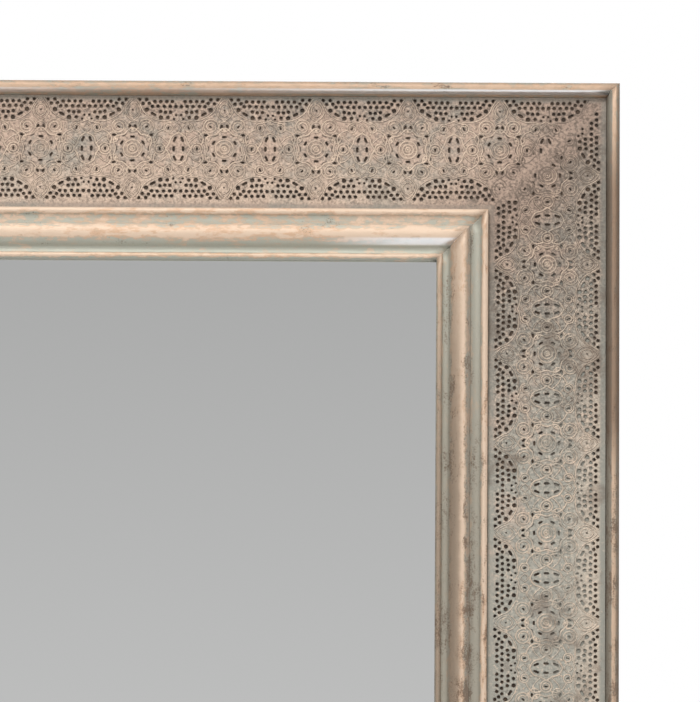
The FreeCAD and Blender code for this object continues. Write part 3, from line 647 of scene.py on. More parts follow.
STAR_RING_SHARES = (0.052, 0.118, 0.196)
STAR_ARC_SHARE = 0.268
STAR_BEAN_SHARE = 0.360
STAR_BOSS_SHARE = 0.415
STAR_SLIT_SHARE = 0.496
STAR_EDGE_SHARE = 0.418
STAR_EDGE_WAVE_SHARE = 0.045
STAR_LOBE_SHARE = 0.117
STAR_POINTS = 6

# How many straight sides or steps stand for a round
DOT_SIDES = 8
SLOT_END_STEPS = 3
BOSS_SIDES = 7
LOBE_SIDES = 14
STAR_EDGE_SIDES = 60
LEAST_RING_SIDES = 10
LEAST_CURL_STEPS = 8
PIN_SIDES = 16
FLOOR_SIDES = 96

# Slots: a place's shares, the length, the width, and the turn from the u direction in degrees. Those
# of the star lie on rays from its middle and are turned from their ray.
LUNETTE_SLOT = ((0.549, 0.70), 5.2 * MM, 2.3 * MM, -31)
OVAL_SLOT = ((0.103, 0), 4.6 * MM, 2.1 * MM, 90)
OVAL_TIP_SLOT = ((0.080, 0.192), 5.0 * MM, 2.0 * MM, 67)
RING_SLOT = ((0.406, 0), 3.0 * MM, 1.6 * MM, 90)
PAIR_SLOT = ((0.265, 0.055), 2.6 * MM, 1.2 * MM, 140)
SCROLL_SLOT = ((0.695, 0.445), 2.7 * MM, 1.4 * MM, 35)
SMALL_SCROLL_SLOT = ((0.220, 0.419), 3.0 * MM, 1.3 * MM, 70)
STAR_ARC_SLOT = (3.9 * MM, 1.9 * MM, 90)
STAR_BEAN_SLOT = (3.9 * MM, 1.7 * MM, 90)
STAR_SLIT = (4.4 * MM, 2.0 * MM)
STAR_SLIT_LEAN = math.radians(20)
STAR_SLIT_SPREAD = math.radians(7.5)

# Curls: the outer and inner reach, the number of turns, the start in degrees and the hand
SCROLL_CURL = (7.0 * MM, 2.3 * MM, 1.9, 200, -1)
SMALL_SCROLL_CURL = (4.6 * MM, 2.2 * MM, 1.4, 60, 1)

RING_REACHES = (4.9 * MM, 2.9 * MM)
BOSS_RADIUS = 1.3 * MM
STAR_BOSS_RADIUS = 1.7 * MM
STAR_MIDDLE_RADIUS = 1.5 * MM
PETAL_DOT_RADIUS = 0.7 * MM

# Which way u and v point in the copies of a mirrored shape
FOUR_WAYS = ((1, 1), (1, -1), (-1, 1), (-1, -1))
BOTH_ENDS = ((1, 1), (-1, 1))
BOTH_EDGES = ((1, 1), (1, -1))


def circle(centre, reach, sides):
    angles = [math.tau * k / sides for k in range(sides)]
    return [centre + Vector((reach * math.cos(angle), reach * math.sin(angle))) for angle in angles]


def closed_ring(centre, reach, sides):
    points = circle(centre, reach, sides)
    return points + points[:1]


def copies(points, ways):
    return [[Vector((a * point.x, b * point.y)) for point in points] for a, b in ways]


def slot_outline(centre, length, width, turn):
    """A slot with round ends, turned from the u direction."""
    run = Vector((math.cos(turn), math.sin(turn)))
    points = []
    for sign in (1, -1):
        end = centre + run * (sign * (length - width) / 2)
        for k in range(SLOT_END_STEPS + 1):
            angle = turn + (0 if sign > 0 else math.pi) + math.pi * (k / SLOT_END_STEPS - 0.5)
            points.append(end + Vector((math.cos(angle), math.sin(angle))) * (width / 2))
    return points


def smooth(points, step):
    """The points joined by a smooth curve, with a point about every step."""
    spread = []
    for k in range(len(points) - 1):
        p0 = points[max(k - 1, 0)]
        p1, p2 = points[k], points[k + 1]
        p3 = points[min(k + 2, len(points) - 1)]
        count = max(1, round((p2 - p1).length / step))
        for j in range(count):
            t = j / count
            spread.append(
                0.5 * (
                    2 * p1 + (p2 - p0) * t + (2 * p0 - 5 * p1 + 4 * p2 - p3) * t**2
                    + (3 * p1 - p0 - 3 * p2 + p3) * t**3
                )
            )
    return spread + [points[-1]]


def spiral(centre, outer, inner, turns, start, hand, step):
    """A curl from its outer to its inner reach, which starts at so many degrees."""
    count = max(LEAST_CURL_STEPS, round(math.pi * (outer + inner) * turns / step))
    points = []
    for k in range(count + 1):
        share = k / count
        angle = math.radians(start) + hand * math.tau * turns * share
        reach = outer + (inner - outer) * share
        points.append(centre + Vector((reach * math.cos(angle), reach * math.sin(angle))))
    return points


def counterclockwise(loop):
    area = sum(a.cross(b) for a, b in zip(loop, loop[1:] + loop[:1]))
    return loop if area > 0 else loop[::-1]


class Motif:
    """The holes and raised lines of one repeat, about the star's middle."""

    def __init__(self, sizes):
        self.sizes = sizes
        self.half = sizes.pitch / 2
        self.band = sizes.half_band
        self.step = sizes.ridge_width
        self.holes = []
        self.ridges = []
        self.bosses = []
        self.add_lunettes()
        self.add_oval()
        self.add_star()
        self.add_scrolls()
        self.add_petals()

    def at(self, share):
        """A place given from the oval's middle, in the first quarter."""
        return Vector((self.half - share[0] * self.half, share[1] * self.band))

    def from_star(self, reach_share, angle):
        reach = reach_share * self.half
        return Vector((reach * math.cos(angle), reach * math.sin(angle)))

    def curve(self, shares):
        return smooth([self.at(share) for share in shares], self.step)

    def sides(self, reach):
        return round(math.tau * reach / self.step)

    def raise_line(self, lines, strength=1.0):
        self.ridges += [(line, strength) for line in lines]

    def cut_slot(self, slot, ways):
        share, length, width, turn = slot
        outline = slot_outline(self.at(share), length, width, math.radians(turn))
        self.holes += copies(outline, ways)

    def add_lunettes(self):
        sizes = self.sizes
        dots = [(share, sizes.dot_radius) for row in LUNETTE_DOT_SHARES for share in row]
        dots += [(share, sizes.big_dot_radius) for share in LUNETTE_BIG_DOT_SHARES]
        dots += [(share, sizes.small_dot_radius) for share in LUNETTE_SMALL_DOT_SHARES]
        for share, radius in dots:
            self.holes += copies(circle(self.at(share), radius, DOT_SIDES), FOUR_WAYS)
        self.cut_slot(LUNETTE_SLOT, FOUR_WAYS)
        self.raise_line(copies(self.curve(ARCH_SHARES), FOUR_WAYS), 0.7)

    def add_oval(self):
        self.cut_slot(OVAL_SLOT, BOTH_ENDS)
        self.cut_slot(OVAL_TIP_SLOT, FOUR_WAYS)
        for shares, strength in (
            (OVAL_SHARES, 1.0), (LEAF_SHARES, 0.6), (ACANTHUS_SHARES, 0.9), (STEM_SHARES, 0.7)
        ):
            self.raise_line(copies(self.curve(shares), FOUR_WAYS), strength)
        self.cut_slot(RING_SLOT, BOTH_ENDS)
        for reach in RING_REACHES:
            ring = closed_ring(self.at(RING_SLOT[0]), reach, self.sides(reach))
            self.raise_line(copies(ring, BOTH_ENDS), 0.8)
        self.cut_slot(PAIR_SLOT, FOUR_WAYS)
        for share in BOSS_SHARES:
            self.bosses += [(spots[0], BOSS_RADIUS) for spots in copies([self.at(share)], FOUR_WAYS)]

    def add_star(self):
        sixth = math.tau / STAR_POINTS
        middle = Vector((0, 0))
        for share in STAR_RING_SHARES:
            reach = share * self.half
            sides = max(LEAST_RING_SIDES, self.sides(reach))
            self.raise_line([closed_ring(middle, reach, sides)])
        edge = []
        for k in range(STAR_EDGE_SIDES + 1):
            angle = math.tau * k / STAR_EDGE_SIDES
            wave = STAR_EDGE_WAVE_SHARE * math.cos(STAR_POINTS * (angle - sixth / 2))
            edge.append(self.from_star(STAR_EDGE_SHARE + wave, angle))
        self.raise_line([edge], 0.9)
        self.bosses.append((middle, STAR_MIDDLE_RADIUS))
        for k in range(STAR_POINTS):
            angle = sixth * (k + 0.5)
            self.cut_on_ray(STAR_ARC_SHARE, angle, STAR_ARC_SLOT)
            self.bosses.append((self.from_star(STAR_BOSS_SHARE, angle), STAR_BOSS_RADIUS))
            lobe = self.from_star(STAR_SLIT_SHARE, angle)
            self.raise_line([closed_ring(lobe, STAR_LOBE_SHARE * self.half, LOBE_SIDES)], 0.7)
            for side in (-1, 1):
                slit = self.from_star(STAR_SLIT_SHARE, angle + side * STAR_SLIT_SPREAD)
                self.holes.append(slot_outline(slit, *STAR_SLIT, angle - side * STAR_SLIT_LEAN))
            self.cut_on_ray(STAR_BEAN_SHARE, sixth * k, STAR_BEAN_SLOT)

    def cut_on_ray(self, share, angle, slot):
        length, width, turn = slot
        place = self.from_star(share, angle)
        self.holes.append(slot_outline(place, length, width, angle + math.radians(turn)))

    def add_scrolls(self):
        for slot, curl in ((SCROLL_SLOT, SCROLL_CURL), (SMALL_SCROLL_SLOT, SMALL_SCROLL_CURL)):
            self.cut_slot(slot, FOUR_WAYS)
            line = spiral(self.at(slot[0]), *curl, self.step)
            self.raise_line(copies(line, FOUR_WAYS), 0.8)

    def add_petals(self):
        dot = Vector((0, PETAL_DOT_SHARE * self.band))
        self.holes += copies(circle(dot, PETAL_DOT_RADIUS, DOT_SIDES), BOTH_EDGES)
        for shares in (PETAL_SHARES, PETAL_HEART_SHARES):
            points = [Vector((u * self.half, v * self.band)) for u, v in shares]
            self.raise_line(copies(smooth(points, self.step), FOUR_WAYS), 0.65)


# How deep raised lines are sunk into the sheet, and how near two places are one: in the pattern, and
# in a triangulation
RIDGE_SINK = 0.05 * MM
TOUCH = 0.001 * MM
SAME_SPOT = 1e-6 * MM

# The relief that a finish reads: 0 on the flat sheet and 1 on a full line's crest
COLLAR_RELIEF = 0.3
RIDGE_FOOT_RELIEF = 0.1
BOSS_FOOT_RELIEF = 0.2
BOSS_RELIEF = 1.3

# What is left of the embossing's height where it is rubbed most
LEAST_HEIGHT_SHARE = 0.05


class SheetMesh:
    """Collects a pierced sheet's faces and raised lines, drawn as on the top side."""

    def __init__(self, sizes, line):
        self.sizes = sizes
        self.line = line
        self.vertices = []
        self.faces = []
        self.relief = []

    def vertex(self, point, depth, relief=0.0):
        """A vertex at a pattern place; line is how far inward the pattern's middle line lies."""
        self.vertices.append((point.x, -depth, -self.line + point.y))
        self.relief.append(relief)
        return len(self.vertices) - 1

    def add_face(self, loops, collars, depth, lift):
        """A triangulated face; gives the number of each outline point's vertex."""
        points = [point for loop in loops for point in loop]
        rings = []
        start = 0
        for loop in loops:
            rings.append(list(range(start, start + len(loop))))
            start += len(loop)
        given = points + collars
        spots, _, corners, sources, _, origins = delaunay_2d_cdt(given, [], rings, 0, SAME_SPOT, True)
        numbers = {}
        made = {}
        outer = len(loops[0])
        for face, source in zip(corners, origins):
            if source != [0]:
                continue
            for k in face:
                if k in made:
                    continue
                number = min(sources[k], default=outer)
                relief = lift if outer <= number < len(points) else 0
                made[k] = self.vertex(spots[k], depth, relief)
                for number in sources[k]:
                    numbers[number] = made[k]
            ordered = face if depth == SHEET_FRONT else face[::-1]
            self.faces.append([made[k] for k in ordered])
        return numbers

    def add_sheet(self, outline, holes, open_at):
        """The flat sheet inside the outline, without the holes; open_at are joints left unwalled."""
        loops = [counterclockwise(loop) for loop in [outline] + holes]
        collars = []
        for loop in loops[1:]:
            centre = sum(loop, Vector((0, 0))) / len(loop)
            for point in loop:
                out = point - centre
                collars.append(point + out.normalized() * self.sizes.collar)
        front = self.add_face(loops, collars, SHEET_FRONT, COLLAR_RELIEF)
        back = self.add_face(loops, [], SHEET_BACK, 0)
        start = 0
        for loop in loops:
            for k in range(len(loop)):
                after = (k + 1) % len(loop)
                ends = (loop[k].x, loop[after].x)
                if any(all(abs(end - x) < TOUCH for end in ends) for x in open_at):
                    continue
                a, b = start + k, start + after
                wall = [front[b], front[a], back[a], back[b]]
                self.faces.append(wall if loop is loops[0] else wall[::-1])
            start += len(loop)

    def add_ridge(self, points, strengths):
        """A raised line with a sharp back, sunk a little into the sheet."""
        closed = (points[0] - points[-1]).length < TOUCH
        path = points[:-1] if closed else points
        count = len(path)
        rows = []
        foot = SHEET_FRONT - RIDGE_SINK
        for k, point in enumerate(path):
            before = path[k - 1] if closed or k else point
            after = path[(k + 1) % count] if closed or k < count - 1 else point
            run = (after - before).normalized()
            strength = strengths[k]
            across = Vector((-run.y, run.x)) * self.sizes.ridge_width * (0.3 + 0.2 * strength)
            crest = SHEET_FRONT + self.sizes.ridge_height * strength
            rows.append(
                (
                    self.vertex(point + across, foot, RIDGE_FOOT_RELIEF * strength),
                    self.vertex(point, crest, strength),
                    self.vertex(point - across, foot, RIDGE_FOOT_RELIEF * strength),
                )
            )
        spans = count if closed else count - 1
        for k in range(spans):
            left, crest, right = rows[k]
            left2, crest2, right2 = rows[(k + 1) % count]
            self.faces.append([left, crest, crest2, left2])
            self.faces.append([crest, right, right2, crest2])
            self.faces.append([right, left, left2, right2])
        if not closed:
            self.faces.append(list(reversed(rows[0])))
            self.faces.append(list(rows[-1]))

    def add_boss(self, centre, radius, strength):
        """A small raised point."""
        foot = SHEET_FRONT - RIDGE_SINK
        spots = circle(centre, radius, BOSS_SIDES)
        ring = [self.vertex(spot, foot, BOSS_FOOT_RELIEF * strength) for spot in spots]
        relief = BOSS_RELIEF * strength
        top = self.vertex(centre, SHEET_FRONT + self.sizes.ridge_height * relief, relief)
        self.faces += [[a, b, top] for a, b in zip(ring, ring[1:] + ring[:1])]
        self.faces.append(ring[::-1])

    def to_object(self, name, material):
        return new_object(name, self.vertices, self.faces, material, self.relief)


def pattern_run(side, pitch, shift):
    """Where the whole repeats start and end along a side."""
    reach = half_length(side) - SHEET_INNER
    first = math.ceil((-reach - shift) / pitch - 0.5)
    last = math.floor((reach - shift) / pitch - 0.5)
    return (first + 0.5) * pitch + shift, (last + 0.5) * pitch + shift


def end_piece(sizes, motif, side, line, start, name, material):
    """The sheet from the last whole repeat to the mitre, with the repeats that the mitre leaves."""
    sheet = SheetMesh(sizes, line)
    half = half_length(side)
    sign = 1 if start > 0 else -1

    def corner(along, inward):
        return Vector((along, line - inward))

    outline = [
        corner(start, SHEET_OUTER),
        corner(sign * (half - SHEET_OUTER), SHEET_OUTER),
        corner(sign * (half - SHEET_INNER), SHEET_INNER),
        corner(start, SHEET_INNER),
    ]

    def to_mitre(point):
        return (half - (line - point.y) - abs(point.x)) / math.sqrt(2)

    def kept(point, margin):
        return to_mitre(point) > margin and (point.x - start) * sign > -TOUCH

    def worn(point):
        share = (to_mitre(point) - sizes.mitre_land) / (sizes.mitre_fade - sizes.mitre_land)
        return min(1, max(LEAST_HEIGHT_SHARE, share))

    holes = []
    ridges = []
    bosses = []
    count = math.ceil((half - abs(start)) / sizes.pitch) + 1
    for k in range(count):
        star = Vector((start + sign * sizes.pitch * (k + 0.5), 0))
        for hole in motif.holes:
            placed = [star + point for point in hole]
            if all(kept(point, sizes.mitre_land) for point in placed):
                holes.append(placed)
        for ridge, strength in motif.ridges:
            run = []
            for point in ridge + [None]:
                if point is not None and kept(star + point, 0.4 * sizes.mitre_land):
                    run.append(star + point)
                    continue
                if len(run) > 2:
                    ridges.append((run, [strength * worn(place) for place in run]))
                run = []
        for spot, radius in motif.bosses:
            if kept(star + spot, sizes.mitre_land + radius):
                bosses.append((star + spot, radius, worn(star + spot)))
    sheet.add_sheet(outline, holes, [start])
    for ridge, strengths in ridges:
        sheet.add_ridge(ridge, strengths)
    for boss in bosses:
        sheet.add_boss(*boss)
    return sheet.to_object(name, material)


REPEAT_TREE = "Repeat along a side"
WELD = 0.01 * MM


def repeat_tree():
    """Geometry nodes that lay a repeat end to end along a side."""
    tree = bpy.data.node_groups.new(REPEAT_TREE, "GeometryNodeTree")
    for name, kind in (
        ("Repeat", "Geometry"), ("Count", "Int"), ("Pitch", "Float"), ("Start", "Float"),
        ("Weld", "Float"), ("Material", "Material"),
    ):
        tree.interface.new_socket(name, in_out="INPUT", socket_type=f"NodeSocket{kind}")
    tree.interface.new_socket("Sheet", in_out="OUTPUT", socket_type="NodeSocketGeometry")
    add, link = tree.nodes.new, tree.links.new
    given, made = add("NodeGroupInput"), add("NodeGroupOutput")
    start, step = add("ShaderNodeCombineXYZ"), add("ShaderNodeCombineXYZ")
    line, laid = add("GeometryNodeMeshLine"), add("GeometryNodeInstanceOnPoints")
    whole, weld = add("GeometryNodeRealizeInstances"), add("GeometryNodeMergeByDistance")
    dressed = add("GeometryNodeSetMaterial")
    for source, output, target, value in (
        (given, "Start", start, "X"), (given, "Pitch", step, "X"), (given, "Count", line, "Count"),
        (start, 0, line, "Start Location"), (step, 0, line, "Offset"), (line, 0, laid, "Points"),
        (given, "Repeat", laid, "Instance"), (laid, 0, whole, 0), (whole, 0, weld, "Geometry"),
        (given, "Weld", weld, "Distance"), (weld, 0, dressed, "Geometry"),
        (given, "Material", dressed, "Material"), (dressed, 0, made, 0),
    ):
        link(source.outputs[output], target.inputs[value])
    return tree


def repeated(piece, count, pitch, start, material):
    """The piece laid count times along its side, its first copy at start."""
    tree = bpy.data.node_groups.get(REPEAT_TREE) or repeat_tree()
    modifier = piece.modifiers.new("Repeats", "NODES")
    modifier.node_group = tree
    values = {"Count": count, "Pitch": pitch, "Start": start, "Weld": WELD, "Material": material}
    for item in tree.interface.items_tree:
        if item.name in values:
            modifier[item.identifier] = values[item.name]
    return applied(piece)


def joined(name, pieces):
    """One object from several."""
    with bpy.context.temp_override(active_object=pieces[0], selected_editable_objects=pieces):
        bpy.ops.object.join()
    whole = pieces[0]
    whole.name = name
    whole.data.name = name
    return whole


class MIRROR_OT_pierced_sheets(Operator):
    """Make the four pierced and embossed sheets"""
    bl_idname = "mirror.pierced_sheets"
    bl_label = "Pierced sheets"

    def execute(self, context):
        sizes = context.scene.mirror_filigree
        material = sheet_finish(context.scene)
        motif = Motif(sizes)
        for side in SIDE_TURNS:
            shift = {"right": sizes.stile_shift, "left": -sizes.stile_shift}.get(side, 0)
            line = SHEET_CENTRE - (0 if side in STILES else sizes.rail_shift)
            start, end = pattern_run(side, sizes.pitch, shift)
            repeat = SheetMesh(sizes, line)
            half = sizes.pitch / 2
            outline = [
                Vector((-half, line - SHEET_INNER)), Vector((half, line - SHEET_INNER)),
                Vector((half, line - SHEET_OUTER)), Vector((-half, line - SHEET_OUTER)),
            ]
            repeat.add_sheet(outline, motif.holes, [-half, half])
            for ridge, strength in motif.ridges:
                repeat.add_ridge(ridge, [strength] * len(ridge))
            for spot, radius in motif.bosses:
                repeat.add_boss(spot, radius, 1)
            middle = repeat.to_object(f"repeats_{side}", material)
            count = round((end - start) / sizes.pitch)
            parts = [repeated(middle, count, sizes.pitch, start + half, material)]
            for place in (start, end):
                name = f"end_{side}_{'left' if place < 0 else 'right'}"
                parts.append(end_piece(sizes, motif, side, line, place, name, material))
            piece = joined(f"filigree_{side}", parts)
            piece.data.transform(side_matrix(side))
            piece.data.update()
            dress(piece, "antiqued_sheet", f"pierced_sheet_{side}")
        return {"FINISHED"}


# Folded and formed cladding


def arc(start, through, end, steps):
    """Points after start on the arc through three points, ending at end."""
    (ax, ay), (bx, by), (cx, cy) = start, through, end
    d = 2 * (ax * (by - cy) + bx * (cy - ay) + cx * (ay - by))
    a2, b2, c2 = ax**2 + ay**2, bx**2 + by**2, cx**2 + cy**2
    x = (a2 * (by - cy) + b2 * (cy - ay) + c2 * (ay - by)) / d
    y = (a2 * (cx - bx) + b2 * (ax - cx) + c2 * (bx - ax)) / d
    reach = math.hypot(ax - x, ay - y)
    first = math.atan2(ay - y, ax - x)
    turn = (math.atan2(cy - y, cx - x) - first) % math.tau
    middle = (math.atan2(by - y, bx - x) - first) % math.tau
    if middle > turn:
        turn -= math.tau
    return [
        (x + reach * math.cos(first + turn * k / steps), y + reach * math.sin(first + turn * k / steps))
        for k in range(1, steps + 1)
    ]


# The moulding's outline, as shares of its width and rise. A third point makes an arc through it.
MOULDING_SHARES = (
    ((0, 0),),
    ((0, 0.10),),
    ((0.012, 0.70),),
    ((0.062, 0.795), (0.150, 0.62)),
    ((0.225, 0.525), (0.300, 0.585)),
    ((0.335, 0.66),),
    ((0.352, 0.86),),
    ((0.479, 1.0), (0.755, 0.355)),
    ((0.815, 0.273), (0.876, 0.322)),
    ((0.938, 0.564), (1.0, 0.322)),
    ((1.0, 0),),
)


def moulding_outline(sizes):
    rise = MOULDING_FRONT - BOARD_FACE
    points = []
    for step in MOULDING_SHARES:
        placed = [(MOULDING_OUTER + a * MOULDING_WIDTH, BOARD_FACE + b * rise) for a, b in step]
        if len(placed) == 1:
            points += placed
        else:
            points += arc(points[-1], placed[0], placed[1], sizes.arc_steps)
    return points


# Between the rim's wall and the pierced sheet
GROOVE_GAP = 0.1 * MM


def rim_nose(sizes, inset):
    """The rim's round, so far inside its outline, from its outer side over its crest."""
    reach = sizes.rim_width / 2
    radius = reach - inset
    spring = RIM_FRONT - reach
    end = (reach + radius * math.sin(sizes.nose_turn), spring + radius * math.cos(sizes.nose_turn))
    start = (inset, spring)
    return [start] + arc(start, (reach, spring + radius), end, 2 * sizes.arc_steps)


def rim_outline(sizes):
    """From under the back over the round nose and down its wall to the groove beside the sheet."""
    groove = (SHEET_OUTER - GROOVE_GAP, BOARD_FACE + sizes.sheet)
    return [(RIM_FLANGE, RIM_BACK), (0, RIM_BACK)] + rim_nose(sizes, 0) + [groove]


def batten_outline(sizes):
    """The wood inside the rim, which keeps clear of the sheet's dents."""
    _, inner, back, _ = side_box("rim_batten")
    inset = sizes.sheet + 3 * sizes.wave
    foot = [(SHEET_OUTER - GROOVE_GAP - inset, BOARD_FACE), (inner, BOARD_FACE)]
    return [(inner, back), (inset, back)] + rim_nose(sizes, inset) + foot


def mitred_bar(name, outline, side, material):
    """A solid bar: the closed outline run along a side and mitred."""
    half = half_length(side)
    matrix = side_matrix(side)
    vertices = [
        matrix @ Vector((end * (half - inward), -depth, -inward))
        for end in (-1, 1)
        for inward, depth in outline
    ]
    count = len(outline)
    faces = [[k, (k + 1) % count, (k + 1) % count + count, k + count] for k in range(count)]
    faces += [list(range(count))[::-1], list(range(count, 2 * count))]
    return new_object(name, vertices, faces, material)


def swept(name, outline, side, sizes, material):
    """The outline run along a side, mitred, and given its sheet's thickness inward."""
    half = half_length(side)
    stations = max(2, round(2 * half / sizes.station))
    matrix = side_matrix(side)
    vertices = []
    for k in range(stations + 1):
        share = 2 * k / stations - 1
        for inward, depth in outline:
            place = matrix @ Vector((share * (half - inward), -depth, -inward))
            drift = noise.noise(place / sizes.wave_length) * sizes.wave
            fixed = depth <= BOARD_FACE + sizes.sheet
            forward = 0 if fixed else min(drift, RIM_FRONT - depth)
            vertices.append(place - Vector((0, forward, 0)))
    width = len(outline)
    faces = []
    for k in range(stations):
        for j in range(width - 1):
            a = k * width + j
            faces.append([a, a + 1, a + width + 1, a + width])
    piece = new_object(name, vertices, faces, material)
    piece.data.polygons.foreach_set("use_smooth", [True] * len(faces))
    piece.data.set_sharp_from_angle(angle=sizes.sharp)
    thick = piece.modifiers.new("Sheet", "SOLIDIFY")
    thick.thickness = sizes.sheet
    thick.offset = -1
    thick.use_even_offset = True
    return applied(piece)


# How a finish changes across a piece, as shares of its width: warmth and age on a rail, warmth and
# age on an upright, and how far an upright turns darker and brown-grey low down. The rail and upright
# columns differ partly as painted light and shade: the rails' torus is greyer where it faces down and
# the rim's wall above the groove is painted lighter on the rails, while on the uprights the rim's two
# sides and the torus's outer flank are painted dark.
RIM_ROUND_SHARES = (
    (0, 0.45, 0.4, 0.3, 0.8, 0.3),
    (0.25, 0.6, 0.5, 0.4, 0.7, 0.3),
    (0.36, 0.7, 0.45, 0.8, 0.3, 0.3),
    (0.62, 0.75, 0.42, 0.9, 0.15, 0.2),
    (0.72, 0.6, 0, 0.2, 0.65, 0.3),
    (1.02, 0.6, 0, 0.1, 0.6, 0.3),
    (1.2, 0.5, 0, 0.1, 0.6, 0.3),
)
MOULDING_ROUND_SHARES = (
    (0, 0.3, 0.5, 0.3, 0.3, 0.5),
    (0.006, 0.8, 0.2, 0.9, 0.1, 0.2),
    (0.015, 1, 0, 1, 0, 0),
    (0.07, 0.9, 0, 1, 0, 0),
    (0.115, 0.75, 0, 0.75, 0, 0.1),
    (0.15, 0.45, 0.3, 0.2, 0, 0.5),
    (0.20, 0.42, 0.35, 0.12, 0, 0.6),
    (0.27, 0.4, 0.5, 0.1, 0.15, 0.6),
    (0.32, 0.35, 0.4, 0.3, 0.45, 0.5),
    (0.34, 0.5, 0.3, 0.3, 0.45, 0.3),
    (0.36, 0.5, 0.2, 0.3, 0.68, 0.2),
    (0.41, 0.6, 0.05, 0.45, 0.62, 0.1),
    (0.455, 0.85, 0, 0.8, 0.35, 0),
    (0.49, 0.9, 0, 1, 0, 0.1),
    (0.56, 0.95, 0, 0.95, 0, 0.9),
    (0.64, 0.45, 0, 0.9, 0.1, 1),
    (0.71, 0.15, 0.1, 0.6, 0.3, 0.9),
    (0.75, 0.12, 0.1, 0.12, 0.1, 0.6),
    (0.865, 0.12, 0.1, 0.12, 0.1, 0.6),
    (0.895, 0.75, 0, 0.6, 0, 0.9),
    (0.96, 0.75, 0, 0.9, 0, 0.9),
    (0.985, 0.3, 0.2, 0.3, 0.3, 0.8),
    (1, 0.1, 0.3, 0.2, 0.4, 0.8),
)


# Where the streaks of painted highlight lie, as shares of the rim's and the moulding's width; the leaf
# there is also smoother and more metallic
RIM_POLISH_HIGHLIGHT_SHARE = 0.9
TORUS_POLISH_HIGHLIGHT_SHARE = 0.66


class MIRROR_OT_rim(Operator):
    """Make the sheet folded over the outer rim"""
    bl_idname = "mirror.rim"
    bl_label = "Rim cladding"

    def execute(self, context):
        sizes, wear = context.scene.mirror_cladding, context.scene.mirror_wear
        width = sizes.rim_width
        rounds = [(share * width, *levels) for share, *levels in RIM_ROUND_SHARES]
        rounds.append((RIM_FLANGE, *RIM_ROUND_SHARES[-1][1:]))
        polish_highlight = (RIM_POLISH_HIGHLIGHT_SHARE * width, wear.rim_polish, wear.rim_polish_reach)
        material = leaf_finish(context.scene, "rim_leaf", rounds, polish_highlight, rub=0.45, upright_shade=0.7)
        outline = rim_outline(sizes)
        for side in SIDE_TURNS:
            piece = swept(f"rim_{side}", outline, side, sizes, material)
            dress(piece, "antiqued_sheet", f"rim_cladding_{side}")
        return {"FINISHED"}


class MIRROR_OT_moulding(Operator):
    """Make the formed sheet of the inner moulding"""
    bl_idname = "mirror.moulding"
    bl_label = "Moulding cladding"

    def execute(self, context):
        sizes, wear = context.scene.mirror_cladding, context.scene.mirror_wear
        rounds = [
            (MOULDING_OUTER + share * MOULDING_WIDTH, *levels) for share, *levels in MOULDING_ROUND_SHARES
        ]
        torus = MOULDING_OUTER + TORUS_POLISH_HIGHLIGHT_SHARE * MOULDING_WIDTH
        polish_highlight = (torus, wear.torus_polish_highlight, wear.torus_polish_highlight_reach)
        material = leaf_finish(context.scene, "moulding_leaf", rounds, polish_highlight, rub=0.85)
        outline = moulding_outline(sizes)
        for side in SIDE_TURNS:
            piece = swept(f"moulding_{side}", outline, side, sizes, material)
            dress(piece, "antiqued_sheet", f"moulding_cladding_{side}")
        return {"FINISHED"}


PIN_SINK = 0.1 * MM


def pin_head(radius, rise, material):
    """A low dome that stands out of the rim's outer face, a little sunk into it."""
    rings = ((radius, -PIN_SINK), (radius, 0.3 * rise), (0.6 * radius, 0.8 * rise))
    low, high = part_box("rim_pins")
    middle = (low.y + high.y) / 2
    vertices = []
    for reach, height in rings:
        spots = circle(Vector((0, middle)), reach, PIN_SIDES)
        vertices += [(spot.x, spot.y, height) for spot in spots]
    count = PIN_SIDES
    faces = [list(range(count))[::-1]]
    for ring in range(len(rings) - 1):
        for k in range(count):
            a, b = ring * count + k, ring * count + (k + 1) % count
            faces.append([a, b, b + count, a + count])
    last = (len(rings) - 1) * count
    vertices.append((0, middle, rise))
    faces += [[last + k, last + (k + 1) % count, len(vertices) - 1] for k in range(count)]
    head = new_object("pin_head", vertices, faces, material)
    head.data.polygons.foreach_set("use_smooth", [False] + [True] * (len(faces) - 1))
    return head


class MIRROR_OT_pins(Operator):
    """Make the low heads of the pins that hold the rim's sheet"""
    bl_idname = "mirror.pins"
    bl_label = "Rim pins"

    def execute(self, context):
        sizes = context.scene.mirror_cladding
        material = metal_finish("pin_brass", context.scene.mirror_colours.brass, 0.38, 1.0)
        parts = []
        for side in SIDE_TURNS:
            run = 2 * (half_length(side) - sizes.pin_inset)
            count = round(run / sizes.pin_pitch)
            head = pin_head(sizes.pin_radius, sizes.pin_rise, material)
            row = repeated(head, count + 1, run / count, -run / 2, material)
            row.data.transform(side_matrix(side))
            parts.append(row)
        dress(joined("rim_pin_heads", parts), "pins", "rim_pins")
        return {"FINISHED"}


# The wood, and pieces kept from the frame, which get their finish only


def finish_nodes(material, *starts):
    found = [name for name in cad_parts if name.startswith(starts)]
    if not found:
        raise RuntimeError(f"no node's name starts with {starts}")
    for name in found:
        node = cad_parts[name]
        if not node.material_slots:
            node.data.materials.append(material)
        for slot in node.material_slots:
            slot.material = material


class MIRROR_OT_wood(Operator):
    """Make the battens inside the rim, and finish the boards, cores and dowels"""
    bl_idname = "mirror.wood"
    bl_label = "Wood"

    def execute(self, context):
        material = wood_finish(context.scene)
        outline = batten_outline(context.scene.mirror_cladding)
        for side in SIDE_TURNS:
            piece = mitred_bar(f"rim_wood_{side}", outline, side, material)
            dress(piece, "frame_wood", f"rim_batten_{side}")
        finish_nodes(material, "board_", "moulding_core_", "packing_batten_", "mitre_dowels")
        return {"FINISHED"}


